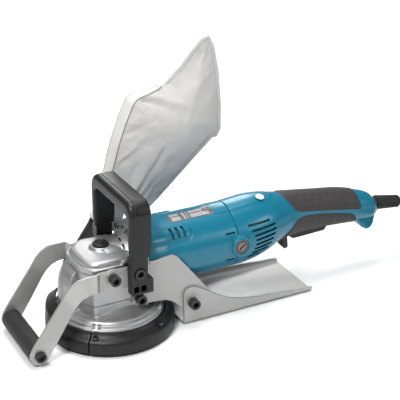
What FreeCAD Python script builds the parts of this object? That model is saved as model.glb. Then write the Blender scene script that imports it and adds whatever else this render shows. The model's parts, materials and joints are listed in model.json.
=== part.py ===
import FreeCAD, Part
import math
import os
import Sketcher
from FreeCAD import Placement, Rotation, Vector

# Hand-held concrete planer with a 125 mm diamond cup wheel.
# Frame: the origin lies on the work face under the wheel's axis, +Z points up
# out of the work face, +X points back to the rear handle. Millimetres.

DIMENSIONS = {
    # machine layout
    "motor_axis_height": 86.5,
    "motor_radius": 40.8,
    "shell_wall": 2.6,
    "flange_start": 22.0,
    "motor_start": 34.0,
    "seam_station": 154.2,
    "handle_end": 379.0,
    # wheel and its drive
    "wheel_radius": 62.5,
    "wheel_lift": 1.0,
    "spindle_radius": 8.5,
    "ring_gear_teeth": 33,
    "pinion_teeth": 11,
    "gear_module": 1.5,
    "running_gap": 0.05,
    # dust cover and its brushes
    "cover_radius": 78.0,
    "cover_crest_height": 18.0,
    "front_cover_start": 128.0,
    "front_cover_end": 228.0,
    "cover_gap_angle": 0.6,
    # casting over the wheel
    "rim_radius": 65.0,
    "volute_radius": 61.0,
    # gear box
    "gearbox_half_width": 37.5,
    "gearbox_floor": 50.0,
    "gearbox_shoulder": 98.0,
    "gearbox_top": 110.0,
    # front handle
    "grip_front": 4.2,
    "grip_back": 31.9,
    "grip_half_width": 57.0,
    "grip_top": 179.0,
    "grip_foot": 111.0,
    "grip_bar": 17.0,
    "grip_leg": 10.0,
    # plates
    "plate_thickness": 3.0,
    "side_plate_face": 42.0,
    "base_start": 77.5,
    "base_finish": 259.2,
    "base_half_width": 45.3,
    "depth_of_cut": 4.0,
    # roller frame
    "roller_station": 108.5,
    "roller_height": 13.2,
    "roller_radius": 12.0,
    "arm_face": 50.3,
    "arm_thickness": 3.4,
    "arm_pivot_height": 86.0,
    "arm_pivot_station": 12.7,
    # screws
    "cap_head_radius": 6.5,
    "cap_head_length": 8.0,
    "screw_radius": 4.0,
    # cord
    "cord_radius": 3.8,
    "coil_middle_radius": 46.0,
    "coil_station": 463.0,
    "coil_side": 76.0,
    # dust bag
    "nozzle_radius": 16.0,
    "nozzle_lean": 36.0,
}

doc = FreeCAD.newDocument("concrete_planer")
sheet = doc.addObject("Spreadsheet::Sheet", "sizes")


class Size:
    """A length or count, with the sheet expression that gives it."""

    def __init__(self, value, text):
        self.value = float(value)
        self.text = text

    def combine(self, other, sign, value):
        return Size(value, "(" + self.text + sign + expression(other) + ")")

    def __add__(self, other):
        return self.combine(other, " + ", self.value + number(other))

    def __sub__(self, other):
        return self.combine(other, " - ", self.value - number(other))

    def __mul__(self, other):
        return self.combine(other, " * ", self.value * number(other))

    def __truediv__(self, other):
        return self.combine(other, " / ", self.value / number(other))

    def __neg__(self):
        return Size(-self.value, "(-1 * " + self.text + ")")

    __radd__ = __add__
    __rmul__ = __mul__


def number(amount):
    """The plain number behind a Size or a number."""
    return amount.value if isinstance(amount, Size) else float(amount)


def expression(amount):
    """The sheet expression behind a Size or a number."""
    return amount.text if isinstance(amount, Size) else repr(float(amount))


size = {}
for row, (alias, amount) in enumerate(DIMENSIONS.items(), start=1):
    sheet.set("A%d" % row, alias)
    sheet.set("B%d" % row, repr(float(amount)))
    sheet.setAlias("B%d" % row, alias)
    size[alias] = Size(amount, "sizes." + alias)
doc.recompute()

SUBPARTS = []
MOTOR_Z = size["motor_axis_height"]


def finish_node(item, label):
    """Give a finished sub-part its own label and note it for export."""
    item.Label = label
    SUBPARTS.append(item)
    return item


def bind(item, **amounts):
    """Bind properties of an object to the sheet, two underscores standing for a dot."""
    for name, amount in amounts.items():
        item.setExpression(name.replace("__", "."), expression(amount))
    return item


# ---------------------------------------------------------------- PartDesign helpers

def new_body(name):
    return doc.addObject("PartDesign::Body", name)


def origin_plane(body, role):
    for feature in body.Origin.OriginFeatures:
        if feature.Role == role:
            return feature
    raise ValueError(role)


def new_sketch(body, role, offset=0.0):
    """A sketch on one of the body's own origin planes, moved along the plane's normal."""
    sketch = body.newObject("Sketcher::SketchObject", body.Name + "_sketch")
    sketch.AttachmentSupport = [(origin_plane(body, role), "")]
    sketch.MapMode = "FlatFace"
    sketch.AttachmentOffset = Placement(Vector(0, 0, number(offset)), Rotation())
    sketch.setExpression("AttachmentOffset.Base.z", expression(offset))
    return sketch


def draw_loop(sketch, points):
    """A closed outline whose corners are tied to the sheet."""
    first = sketch.GeometryCount
    corners = [Vector(number(u), number(v), 0) for u, v in points]
    count = len(corners)
    for i in range(count):
        sketch.addGeometry(Part.LineSegment(corners[i], corners[(i + 1) % count]))
    for i in range(count):
        following = first + (i + 1) % count
        sketch.addConstraint(Sketcher.Constraint("Coincident", first + i, 2, following, 1))
    for i, corner in enumerate(points):
        for kind, amount in zip(("DistanceX", "DistanceY"), corner):
            rule = Sketcher.Constraint(kind, -1, 1, first + i, 1, number(amount))
            place = sketch.addConstraint(rule)
            if isinstance(amount, Size):
                sketch.setExpression("Constraints[%d]" % place, amount.text)


def draw_circle(sketch, u, v, radius):
    """A circle whose centre and radius are tied to the sheet."""
    centre = Vector(number(u), number(v), 0)
    item = sketch.addGeometry(Part.Circle(centre, Vector(0, 0, 1), number(radius)))
    rules = (("DistanceX", u), ("DistanceY", v))
    for kind, amount in rules:
        place = sketch.addConstraint(Sketcher.Constraint(kind, -1, 1, item, 3, number(amount)))
        if isinstance(amount, Size):
            sketch.setExpression("Constraints[%d]" % place, amount.text)
    place = sketch.addConstraint(Sketcher.Constraint("Radius", item, number(radius)))
    if isinstance(radius, Size):
        sketch.setExpression("Constraints[%d]" % place, radius.text)


def revolved(label, points, about="V_Axis", role="XZ_Plane", height=0.0):
    """A sub-part turned about a sketch axis through the point (0, 0, height)."""
    body = new_body(label + "_body")
    sketch = new_sketch(body, role)
    draw_loop(sketch, points)
    turn = body.newObject("PartDesign::Revolution", label + "_turn")
    turn.Profile = sketch
    turn.ReferenceAxis = (sketch, [about])
    turn.Angle = 360.0
    bind(body, Placement__Base__z=height)
    return finish_node(body, label)


def padded(label, role, loops, depth, offset=0.0, circles=(), fillets=()):
    """A flat sub-part: outlines and holes drawn on a plane and padded along its normal.
    Each of the fillets is a radius and the corners, as (u, v), that it rounds."""
    body = new_body(label + "_body")
    sketch = new_sketch(body, role, offset)
    for points in loops:
        draw_loop(sketch, points)
    for u, v, radius in circles:
        draw_circle(sketch, u, v, radius)
    pad = body.newObject("PartDesign::Pad", label + "_pad")
    pad.Profile = sketch
    bind(pad, Length=depth)
    for radius, corners in fillets:
        doc.recompute()
        base = body.Tip
        names = edges_at(base.Shape, role, corners)
        rounding = body.newObject("PartDesign::Fillet", label + "_fillet")
        rounding.Base = (base, names)
        bind(rounding, Radius=radius)
    return finish_node(body, label)


def edges_at(shape, role, corners):
    """Names of the straight edges along the plane's normal that stand on the corners."""
    first, second = {"XY_Plane": ("x", "y"), "XZ_Plane": ("x", "z"), "YZ_Plane": ("y", "z")}[role]
    names = []
    for index, edge in enumerate(shape.Edges, start=1):
        ends = [vertex.Point for vertex in edge.Vertexes]
        for u, v in corners:
            near = [abs(getattr(p, first) - number(u)) + abs(getattr(p, second) - number(v)) < 0.05
                    for p in ends]
            if len(near) == 2 and all(near):
                names.append("Edge%d" % index)
    if len(names) != len(corners):
        raise ValueError("fillet corners not found")
    return names


# ---------------------------------------------------------------- Part helpers

def solid_node(label, shape):
    """A sub-part whose shape comes from Part's own functions and the sheet's sizes."""
    item = doc.addObject("Part::Feature", label + "_solid")
    item.Shape = shape
    return finish_node(item, label)


def cylinder(radius, length, start, along=(0, 0, 1)):
    return Part.makeCylinder(number(radius), number(length), vector(start), Vector(*along))


def cone(first, second, length, start, along=(0, 0, 1)):
    return Part.makeCone(number(first), number(second), number(length), vector(start), Vector(*along))


def block(low, high):
    """A box between two corners."""
    low, high = vector(low), vector(high)
    return Part.makeBox(high.x - low.x, high.y - low.y, high.z - low.z, low)


def vector(point):
    return Vector(*[number(value) for value in point])


def turned(points, start_angle=0.0, sweep=360.0):
    """A solid of revolution about Z from (radius, height) corners, between two angles."""
    wire = Part.makePolygon([Vector(number(r), 0, number(z)) for r, z in points + points[:1]])
    solid = Part.Face(wire).revolve(Vector(), Vector(0, 0, 1), sweep)
    solid.rotate(Vector(), Vector(0, 0, 1), start_angle)
    return solid


def turned_x(points, height=MOTOR_Z):
    """A solid of revolution about the motor's axis from (station, radius) corners."""
    wire = Part.makePolygon([Vector(number(x), 0, number(r)) for x, r in points + points[:1]])
    solid = Part.Face(wire).revolve(Vector(), Vector(1, 0, 0), 360)
    solid.translate(Vector(0, 0, number(height)))
    return solid


def prism_y(points, start, depth):
    """An outline of (x, z) corners pushed along +Y from y = start."""
    wire = Part.makePolygon([Vector(number(x), number(start), number(z))
                             for x, z in points + points[:1]])
    return Part.Face(wire).extrude(Vector(0, number(depth), 0))


def mirror_y(shape):
    return shape.mirror(Vector(), Vector(0, 1, 0))


def rounded(shape, radius, pick):
    """Round the edges that pick() accepts."""
    return shape.makeFillet(number(radius), [edge for edge in shape.Edges if pick(edge)])


def cap_screw(seat, along, shank, head_radius=None, head_length=None, radius=None):
    """A hexagon socket cap screw: seat is the underside of its head, along its shank."""
    head_radius = number(head_radius or size["cap_head_radius"])
    head_length = number(head_length or size["cap_head_length"])
    radius = number(radius or size["screw_radius"])
    outward = Vector(*along) * -1
    head = Part.makeCylinder(head_radius, head_length, vector(seat), outward)
    stem = Part.makeCylinder(radius, shank, vector(seat), Vector(*along))
    mouth = vector(seat) + outward * head_length
    across = head_radius * 0.62
    socket = hexagon(mouth, Vector(*along), across, head_length * 0.5)
    return head.fuse(stem).cut(socket).removeSplitter()


def hexagon(centre, along, radius, depth):
    """A hexagonal prism that starts at centre and runs along a direction."""
    turn = Rotation(Vector(0, 0, 1), along)
    corners = [Vector(radius * math.cos(math.radians(60 * i)),
                      radius * math.sin(math.radians(60 * i)), 0) for i in range(7)]
    prism = Part.Face(Part.makePolygon(corners)).extrude(Vector(0, 0, depth))
    prism.Placement = Placement(centre, turn)
    return prism


def group(shapes):
    """Separate solids that share one node."""
    return Part.makeCompound([solid for shape in shapes for solid in shape.Solids])


# ---------------------------------------------------------------- wheel and spindle

WHEEL_BACK = 20.0
SPINDLE_TOP = 103.0
CROWN_PITCH = size["gear_module"] * size["ring_gear_teeth"] / 2
PINION_PITCH = size["gear_module"] * size["pinion_teeth"] / 2
PITCH_HEIGHT = MOTOR_Z - PINION_PITCH


def build_wheel_group():
    gap = size["wheel_lift"]
    radius = size["wheel_radius"]
    revolved("spindle", [
        (0, 8.0), (6.9, 8.0), (6.9, WHEEL_BACK + 4.3), (size["spindle_radius"], WHEEL_BACK + 4.3),
        (size["spindle_radius"], 96.0), (6.0, 96.0), (6.0, SPINDLE_TOP), (0, SPINDLE_TOP)])
    revolved("inner_flange", [
        (size["spindle_radius"] * 0.83, WHEEL_BACK), (21.0, WHEEL_BACK), (21.0, WHEEL_BACK + 4),
        (12.0, WHEEL_BACK + 7), (size["spindle_radius"] + 0.02, WHEEL_BACK + 7),
        (size["spindle_radius"] + 0.02, WHEEL_BACK + 4.2), (size["spindle_radius"] * 0.83, WHEEL_BACK + 4.2)])
    revolved("cup_wheel", [
        (7.1, 15.5), (24.0, 15.5), (34.0, 10.0), (radius - 13, 4.5), (radius, 4.5), (radius, 9.5),
        (radius - 12, 11.0), (38.0, 15.0), (27.0, WHEEL_BACK - 0.1), (7.1, WHEEL_BACK - 0.1)])
    revolved("lock_nut", [
        (7.1, 9.5), (17.0, 9.5), (20.0, 12.0), (20.0, 15.4), (7.1, 15.4)])
    segments = []
    count = 18
    for i in range(count):
        segment = turned([(radius - 10, gap), (radius, gap), (radius, 4.45), (radius - 10, 4.45)],
                         i * 360.0 / count, 15.0)
        segments.append(segment)
    solid_node("diamond_segments", group(segments))


def bevel_tooth(inner, outer, root, tip, root_width, tip_width):
    """A tapering tooth along +X, standing up in +Z and narrower towards its inner end."""
    ends = []
    for distance in (inner, outer):
        scale = distance / outer
        half_root = root_width * scale / 2
        half_tip = tip_width * scale / 2
        corners = [(-half_root, root), (half_root, root), (half_tip, tip * scale), (-half_tip, tip * scale)]
        points = [Vector(distance, y, z) for y, z in corners + corners[:1]]
        ends.append(Part.makePolygon(points))
    return Part.makeLoft(ends, True, True)


def build_gears():
    teeth = int(number(size["ring_gear_teeth"]))
    crown = CROWN_PITCH.value
    height = PITCH_HEIGHT.value
    web = turned([(size["spindle_radius"] + 0.02, height - 12), (crown - 3, height - 12),
                  (crown + 0.6, height - 7), (crown + 0.6, height - 2.4),
                  (crown - 8.5, height - 2.4), (13.0, height - 4.5),
                  (size["spindle_radius"] + 0.02, height - 4.5)])
    tooth = bevel_tooth(crown - 7.5, crown, -2.9, 1.25, 2.7, 1.1)
    tooth.translate(Vector(0, 0, height))
    gear = web
    for i in range(teeth):
        copy = tooth.copy()
        copy.rotate(Vector(), Vector(0, 0, 1), (i + 0.5) * 360.0 / teeth)
        gear = gear.fuse(copy)
    solid_node("ring_gear", gear.removeSplitter())

    count = int(number(size["pinion_teeth"]))
    pitch = PINION_PITCH.value
    core = turned_x([(crown - 8.0, 4.06), (crown - 8.0, 4.55), (crown + 0.4, 6.0), (crown + 3, 6.0),
                     (crown + 3, 4.06)])
    pinion = core
    leaf = pinion_leaf(crown, pitch)
    for i in range(count):
        copy = leaf.copy()
        copy.rotate(Vector(0, 0, MOTOR_Z.value), Vector(1, 0, 0), i * 360.0 / count)
        pinion = pinion.fuse(copy)
    solid_node("pinion_gear", pinion.removeSplitter())


def pinion_leaf(crown, pitch):
    """One pinion tooth that points straight down into the ring gear."""
    ends = []
    for distance in (crown - 7.4, crown - 0.1):
        scale = distance / crown
        centre = MOTOR_Z.value
        root = centre - 4.7
        tip = centre - (pitch + 1.5) * scale + 0.1
        tip = min(tip, root - 0.8)
        corners = [(-1.35 * scale, root), (1.35 * scale, root), (0.5 * scale, tip), (-0.5 * scale, tip)]
        points = [Vector(distance, y, z) for y, z in corners + corners[:1]]
        ends.append(Part.makePolygon(points))
    return Part.makeLoft(ends, True, True)


def bearing(bore, outside, low, width):
    """Two races and nine balls as (radius, station) rings about an axis through z = 0."""
    middle = (bore + outside) / 2
    race = (outside - bore) * 0.3
    inner = turned([(bore, low), (bore + race, low), (bore + race, low + width), (bore, low + width)])
    outer = turned([(outside - race, low), (outside, low), (outside, low + width),
                    (outside - race, low + width)])
    shield = turned([(bore + race - 0.3, low + 0.6), (outside - race + 0.3, low + 0.6),
                     (outside - race + 0.3, low + width - 0.6), (bore + race - 0.3, low + width - 0.6)])
    return inner.fuse([outer, shield]).removeSplitter()


def build_bearings():
    clear = size["running_gap"].value
    shaft = size["spindle_radius"].value
    solid_node("needle_bearing", bearing(6.0 + clear, 10.0, 96.8, 7.5))
    to_motor = Rotation(Vector(0, 0, 1), Vector(1, 0, 0))
    bearings = [bearing(shaft + clear, 17.5, 38.0, 11.0)]
    for station, outside in ((31.5, 13.0), (163.0, 11.0)):
        item = bearing(4.0 + clear, outside, 0.0, 8.0)
        item.Placement = Placement(Vector(station, 0, MOTOR_Z.value), to_motor)
        bearings.append(item)
    solid_node("ball_bearings", group(bearings))


# ---------------------------------------------------------------- castings

LOCK_STATION = -14.5
ARM_PIVOT = (-size["arm_pivot_station"].value, size["arm_pivot_height"].value)


def frame_screws():
    """The M8 cap screws that hold the front handle, side plates, base and roller arms."""
    seats = (
        # station, height, distance of the seat from the middle, shank length
        (15.5, 91.0, 50.4, 19.0),
        (20.5, 51.0, size["side_plate_face"].value + 0.02, 12.0),
        (89.0, 29.0, size["base_half_width"].value + 0.4, 15.0),
        (ARM_PIVOT[0], ARM_PIVOT[1], 44.5, 13.0),
    )
    return [cap_screw((x, side * seat, z), (0, -side, 0), shank)
            for x, z, seat, shank in seats for side in (-1, 1)]


def gearbox_screws():
    """Four screws that join the gear housing to the motor housing."""
    screws = []
    for angle in (45, 135, 225, 315):
        along = math.radians(angle)
        y, z = 39.5 * math.cos(along), MOTOR_Z.value + 39.5 * math.sin(along)
        screws.append(cap_screw((26.0, y, z), (1, 0, 0), 16.0, 3.6, 3.0, 2.0))
    return screws


FRAME_SCREWS = frame_screws()


def plate_room():
    """Flats on both sides, where the side plates lie against the housings."""
    face = size["side_plate_face"].value - size["plate_thickness"].value - 0.05
    return [block((10.0, face, 10.0), (119.0, face + 10, 99.0)),
            block((10.0, -face - 10, 10.0), (119.0, -face, 99.0))]


def build_castings():
    rim = size["rim_radius"]
    ring = turned([
        (17.6, 36.0), (17.6, 43.0), (33.4, 43.0), (40.0, 41.0), (53.5, 36.5), (54.5, 34.0),
        (61.5, 31.5), (62.5, 28.5), (rim, 27.5), (rim, 24.0), (60.5, 24.0), (58.5, 28.0),
        (50.0, 31.0), (38.0, 34.5), (19.0, 34.5), (19.0, 36.0)])
    outer, inner = size["volute_radius"], 46.0
    front_bulge = turned([(inner, 36.0), (outer, 30.0), (outer, 60.0), (outer - 2.5, 70.0),
                          (outer - 7, 80.0), (inner, 88.0)], 132.0, 62.0)
    side_bulge = turned([(inner, 36.0), (outer, 30.0), (outer, 52.0), (outer - 4, 61.0),
                         (inner + 4, 66.0), (inner, 66.0)], 88.0, 44.0)
    half = size["gearbox_half_width"].value
    floor, shoulder, top = (size[name].value for name in
                            ("gearbox_floor", "gearbox_shoulder", "gearbox_top"))
    plan = [(-33.5, -half), (33.4, -half), (33.4, half), (-30.0, half), (-44.0, 21.0), (-44.0, -21.0)]
    deck = Part.Face(Part.makePolygon([Vector(x, y, 36.6) for x, y in plan + plan[:1]]))
    deck = deck.extrude(Vector(0, 0, floor - 0.05 - 36.6)).cut(cylinder(17.6, 40.0, (0, 0, 30.0)))
    casting = ring.fuse([deck, front_bulge, side_bulge])
    shoes = []
    for angle in (60.0, 180.0, 232.0, 320.0):
        lug = block((rim - 4, -3.0, 27.0), (rim - 0.6, 3.0, 34.0))
        lug.rotate(Vector(), Vector(0, 0, 1), angle)
        shoes.append(lug)
    casting = casting.fuse(shoes)
    solid_node("wheel_housing", casting.cut(FRAME_SCREWS))

    lower = Part.Face(Part.makePolygon([Vector(x, y, floor) for x, y in plan + plan[:1]]))
    lower = lower.extrude(Vector(0, 0, shoulder - floor))
    lower = rounded(lower, 3.0, lambda edge: edge.BoundBox.ZMin > shoulder - 0.1
                    and edge.BoundBox.XMax < 33.3)
    cap = cylinder(29.0, top - shoulder + 4, (-8.0, 0, shoulder - 4))
    cap = cap.fuse(block((-8.0, -29.0, shoulder - 4), (34.0, 29.0, top)))
    cap = rounded(cap.removeSplitter(), 4.0, lambda edge: edge.BoundBox.ZMin > top - 0.1
                  and edge.BoundBox.XMax < 33.9)
    collar = turned_x([(size["flange_start"], 10.0), (size["flange_start"], 33.0), (27.0, 43.4),
                       (33.9, 43.4), (33.9, 10.0)])
    case = lower.fuse([cap, collar])
    cavity = cylinder(31.5, 45.5, (0, 0, floor - 1))
    tunnel = cylinder(13.1, 30.0, (10.0, 0, MOTOR_Z), (1, 0, 0))
    upper_seat = cylinder(10.05, 12.0, (0, 0, 93.0))
    case = case.cut(cavity.fuse(tunnel)).cut(upper_seat)
    bulge_room = turned([(inner - 0.3, 29.0), (outer + 1, 29.0), (outer + 1, 92.0),
                         (inner - 0.3, 92.0)], 87.0, 108.0)
    case = case.cut(bulge_room)
    windows = []
    for i in range(12):
        if i % 3 == 0:
            continue
        window = block((20.0, -3.6, 25.0), (36.0, 3.6, 35.5))
        window.rotate(Vector(), Vector(1, 0, 0), 30.0 * i + 15.0)
        window.translate(Vector(0, 0, MOTOR_Z.value))
        windows.append(window)
    stem_hole = cylinder(2.5, 30.0, (LOCK_STATION, 0, 90.0))
    spring_seat = cylinder(3.7, 10.0, (LOCK_STATION, 0, 104.1))
    button_recess = cylinder(10.2, 10.0, (-9.0, 0, top - 3.4))
    arm_bosses = [cylinder(9.0, 5.0, (ARM_PIVOT[0], side * 35.5, ARM_PIVOT[1]), (0, side, 0))
                  for side in (-1, 1)]
    below = block((-100.0, -100.0, 0.0), (100.0, 100.0, floor))
    case = case.fuse(arm_bosses).cut(windows).cut([stem_hole, spring_seat, button_recess, below])
    case = case.cut(plate_room()).cut(cavity).cut(FRAME_SCREWS).cut(gearbox_screws())
    solid_node("gear_housing", case)


# ---------------------------------------------------------------- dust cover

def cover_profile(lift=0.0):
    outer, crest = size["cover_radius"].value, size["cover_crest_height"].value
    return [(outer, 4.0), (outer, crest - 2 + lift), (outer - 2, crest + 1 + lift),
            (69.5, 23.0 + lift), (67.5, 26.5), (66.4, 26.5), (66.4, 21.5), (68.5, 20.0 + lift),
            (outer - 4.5, crest - 3 + lift), (outer - 4.5, 9.0), (outer - 2.4, 9.0),
            (outer - 2.4, 4.0)]


def build_dust_cover():
    start, stop = size["front_cover_start"].value, size["front_cover_end"].value
    slack = size["cover_gap_angle"].value
    outer = size["cover_radius"].value
    screws = []
    for angle in (start - 5.0, stop + 5.0, 300.0, 20.0, 75.0):
        screw = cap_screw((72.8, 0, 22.5), (0, 0, -1), 6.0, 3.2, 2.6, 1.6)
        screw.rotate(Vector(), Vector(0, 0, 1), angle)
        screws.append(screw)
    solid_node("cover_screws", group(screws))
    rear = turned(cover_profile(), stop + slack, 360.0 - (stop - start) - 2 * slack)
    solid_node("dust_cover", rear.cut(screws))
    front = turned(cover_profile(), start + slack, stop - start - 2 * slack)
    wall = turned([(outer - 3, 15.0), (outer - 0.2, 15.0), (outer - 1.5, 33.0), (65.0, 43.0),
                   (63.5, 41.0), (outer - 4.5, 31.0)], start + 12, 48.0)
    solid_node("front_dust_cover", front.fuse(wall).removeSplitter())
    brush = [(outer - 4.4, 0.0), (outer - 2.5, 0.0), (outer - 2.5, 8.9), (outer - 4.4, 8.9)]
    solid_node("rear_brush", turned(brush, stop + slack, 360.0 - (stop - start) - 2 * slack))
    solid_node("front_brush", turned(brush, start + slack, stop - start - 2 * slack))


# ---------------------------------------------------------------- nozzle and bag

NOZZLE_FOOT = Vector(-10.0, 79.0, 45.0)


def nozzle_axis():
    lean = math.radians(size["nozzle_lean"].value)
    return Vector(math.sin(lean), 0, math.cos(lean))


def build_dust_line():
    axis = nozzle_axis()
    radius = size["nozzle_radius"].value
    length = 74.0
    mouth = NOZZLE_FOOT + axis * length
    tube = Part.makeCylinder(radius, length, NOZZLE_FOOT, axis)
    bore = Part.makeCylinder(radius - 2.2, length + 2, NOZZLE_FOOT + axis * 6, axis)
    elbow = Part.makeSphere(radius + 1.5, NOZZLE_FOOT)
    inlet = block((-26.0, 50.0, 31.0), (5.0, 79.0, 59.0))
    keep_out = cylinder(size["volute_radius"] + 0.1, 80.0, (0, 0, 10.0))
    keep_out = keep_out.fuse(cylinder(size["rim_radius"] + 0.3, 25.0, (0, 0, 9.0)))
    foot = elbow.fuse(inlet).cut(keep_out)
    lobe = foot.fuse(tube).cut(bore).removeSplitter()
    solid_node("dust_nozzle", lobe)

    clear = 0.35
    collar_start = NOZZLE_FOOT + axis * (length - 12.0)
    ring = Part.makeCylinder(radius + 4.0, 20.0, collar_start, axis)
    hole = Part.makeCylinder(radius + clear, 12.6, collar_start - axis * 0.2, axis)
    throat = Part.makeCylinder(radius - 2.2, 40.0, collar_start, axis)
    solid_node("bag_collar", ring.cut(hole).cut(throat).removeSplitter())

    base = mouth + axis * 8.4
    across = Vector(axis.z, 0, -axis.x)
    sections = [
        # distance from the collar, sideways shift, half width, half thickness
        (0.0, 0.0, 18.5, 18.5),
        (26.6, 12.0, 38.0, 19.0),
        (48.6, 10.0, 45.0, 21.0),
        (105.6, 8.0, 61.0, 23.0),
        (130.6, 10.0, 67.0, 21.0),
        (150.6, 18.0, 60.0, 17.0),
        (171.6, 19.5, 47.5, 13.0),
        (196.6, 13.0, 34.0, 9.0),
        (222.0, 2.0, 20.0, 5.5),
        (244.0, -8.0, 5.0, 2.5),
    ]
    wires = []
    for distance, shift, half_width, half_thickness in sections:
        centre = base + axis * distance + across * shift
        wires.append(oval(centre, half_width, half_thickness, across, Vector(0, 1, 0)))
    solid_node("dust_bag", Part.makeLoft(wires, True, False))


# ---------------------------------------------------------------- motor

def build_motor():
    radius, wall = size["motor_radius"], size["shell_wall"]
    start, seam = size["motor_start"], size["seam_station"]
    inside = radius - wall
    body = turned_x([(start, inside), (start, 43.0), (start + 9, 43.0),
                     (start + 30, radius), (seam, radius), (seam, inside)])
    slots = []
    for i in range(3):
        slot = block((67.9 + 7.8 * i, -50.0, 112.0), (70.9 + 7.8 * i, -20.0, 122.5))
        slots += [slot, mirror_y(slot)]
    for height in (104.6, 69.9):
        slots.append(block((137.0, -50.0, height - 0.9), (148.0, 50.0, height + 0.9)))
    boss = cylinder(12.6, 100.0, (157.2, -50.0, MOTOR_Z), (0, 1, 0))
    boss = boss.common(turned_x([(130.0, inside), (130.0, radius + 3.0), (154.1, radius + 3.0),
                                 (154.1, inside)]))
    brush_bore = cylinder(9.3, 100.0, (157.2, -50.0, MOTOR_Z), (0, 1, 0))
    shell = body.fuse(boss).cut(slots).cut(brush_bore).cut(plate_room()).cut(gearbox_screws())
    solid_node("motor_housing", shell)

    bore = 25.5
    revolved("stator_core", [(62.0, bore), (128.0, bore), (128.0, inside - 0.1), (62.0, inside - 0.1)],
             about="H_Axis", height=MOTOR_Z)
    coils = []
    for station in (52.0, 128.2):
        ring = turned_x([(station, 27.0), (station, 36.5), (station + 9.6, 36.5), (station + 9.6, 27.0)])
        for side in (-1, 1):
            gap = block((station - 1, -50.0, MOTOR_Z - 7), (station + 11, 50.0, MOTOR_Z + 7))
            ring = ring.cut(gap) if side > 0 else ring
        coils.append(ring)
    solid_node("field_coils", group(coils))
    revolved("air_baffle", [(49.0, 25.0), (51.5, 25.0), (51.5, inside - 0.1), (49.0, inside - 0.1)],
             about="H_Axis", height=MOTOR_Z)

    revolved("armature_shaft", [(12.0, 0), (12.0, 4.0), (174.0, 4.0), (174.0, 0)],
             about="H_Axis", height=MOTOR_Z)
    core = turned_x([(64.0, 4.05), (64.0, 24.8), (126.0, 24.8), (126.0, 4.05)])
    grooves = []
    for i in range(12):
        groove = block((63.0, -0.9, 16.0), (127.0, 0.9, 26.0))
        groove.rotate(Vector(), Vector(1, 0, 0), 30.0 * i)
        groove.translate(Vector(0, 0, MOTOR_Z.value))
        grooves.append(groove)
    solid_node("armature_core", core.cut(grooves))
    heads = [turned_x([(x, 4.06), (x, r), (x + w, r - 2), (x + w, 4.06)])
             for x, w, r in ((54.0, 9.9, 23.0), (126.1, 12.0, 23.0))]
    solid_node("armature_windings", group(heads))
    revolved("commutator", [(141.0, 4.06), (141.0, 16.0), (160.0, 16.0), (160.0, 4.06)],
             about="H_Axis", height=MOTOR_Z)
    hub = turned_x([(41.0, 4.06), (41.0, 8.0), (46.2, 12.0), (46.9, 33.0), (48.4, 33.0),
                    (48.4, 4.06)])
    blades = []
    for i in range(9):
        blade = block((41.2, -0.8, 14.0), (47.2, 0.8, 33.0))
        blade.rotate(Vector(), Vector(1, 0, 0), 40.0 * i)
        blade.translate(Vector(0, 0, MOTOR_Z.value))
        blades.append(blade)
    solid_node("cooling_fan", hub.fuse(blades).removeSplitter())

    holders, brushes, caps = [], [], []
    for side in (-1, 1):
        direction = (0, side, 0)
        sleeve = cylinder(6.2, 19.0, (157.2, side * 19.5, MOTOR_Z), direction)
        channel = block((153.2, min(side * 16.0, side * 50.0), MOTOR_Z - 3.4),
                        (161.2, max(side * 16.0, side * 50.0), MOTOR_Z + 3.4))
        holders.append(sleeve.cut(channel))
        brushes.append(block((153.6, min(side * 16.2, side * 33.0), MOTOR_Z - 3.2),
                             (160.8, max(side * 16.2, side * 33.0), MOTOR_Z + 3.2)))
        cap = cylinder(9.2, 3.6, (157.2, side * 40.2, MOTOR_Z), direction)
        tail = cylinder(5.8, 1.6, (157.2, side * 38.7, MOTOR_Z), direction)
        notch = block((149.0, min(side * 42.6, side * 44.0), MOTOR_Z - 0.8),
                      (165.4, max(side * 42.6, side * 44.0), MOTOR_Z + 0.8))
        caps.append(cap.fuse(tail).cut(notch).removeSplitter())
    solid_node("brush_holders", group(holders))
    solid_node("carbon_brushes", group(brushes))
    solid_node("brush_caps", group(caps))

    solid_node("gearbox_screws", group(gearbox_screws()))


# ---------------------------------------------------------------- rear handle

HANDLE_SECTIONS = [
    # station, centre height, half height, half width
    (154.4, 86.5, 40.8, 40.8),
    (170.0, 87.5, 41.2, 40.8),
    (188.0, 89.5, 40.5, 39.5),
    (208.0, 92.0, 36.8, 36.0),
    (230.0, 94.8, 30.8, 28.5),
    (252.0, 95.0, 28.0, 22.0),
    (285.0, 92.6, 25.6, 19.0),
    (320.0, 89.0, 23.6, 18.8),
    (350.0, 83.8, 20.6, 19.0),
    (368.0, 79.6, 17.6, 18.0),
    (376.5, 77.0, 12.0, 13.0),
]


def oval(centre, half_u, half_v, along_u, along_v):
    """A smooth closed curve through 24 points of an ellipse in the plane of two directions."""
    points = []
    for i in range(24):
        angle = math.radians(15.0 * i)
        points.append(centre + along_u * (half_u * math.cos(angle)) + along_v * (half_v * math.sin(angle)))
    curve = Part.BSplineCurve()
    curve.interpolate(Points=points, PeriodicFlag=True)
    return Part.Wire([curve.toShape()])


def handle_loft(shrink=0.0):
    """The handle's outer shape, or the same drawn in by shrink."""
    wires = []
    for station, centre, half_height, half_width in HANDLE_SECTIONS:
        middle = Vector(station, 0, centre)
        wires.append(oval(middle, half_width - shrink, half_height - shrink,
                          Vector(0, 1, 0), Vector(0, 0, 1)))
    return Part.makeLoft(wires, True, False)


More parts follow.
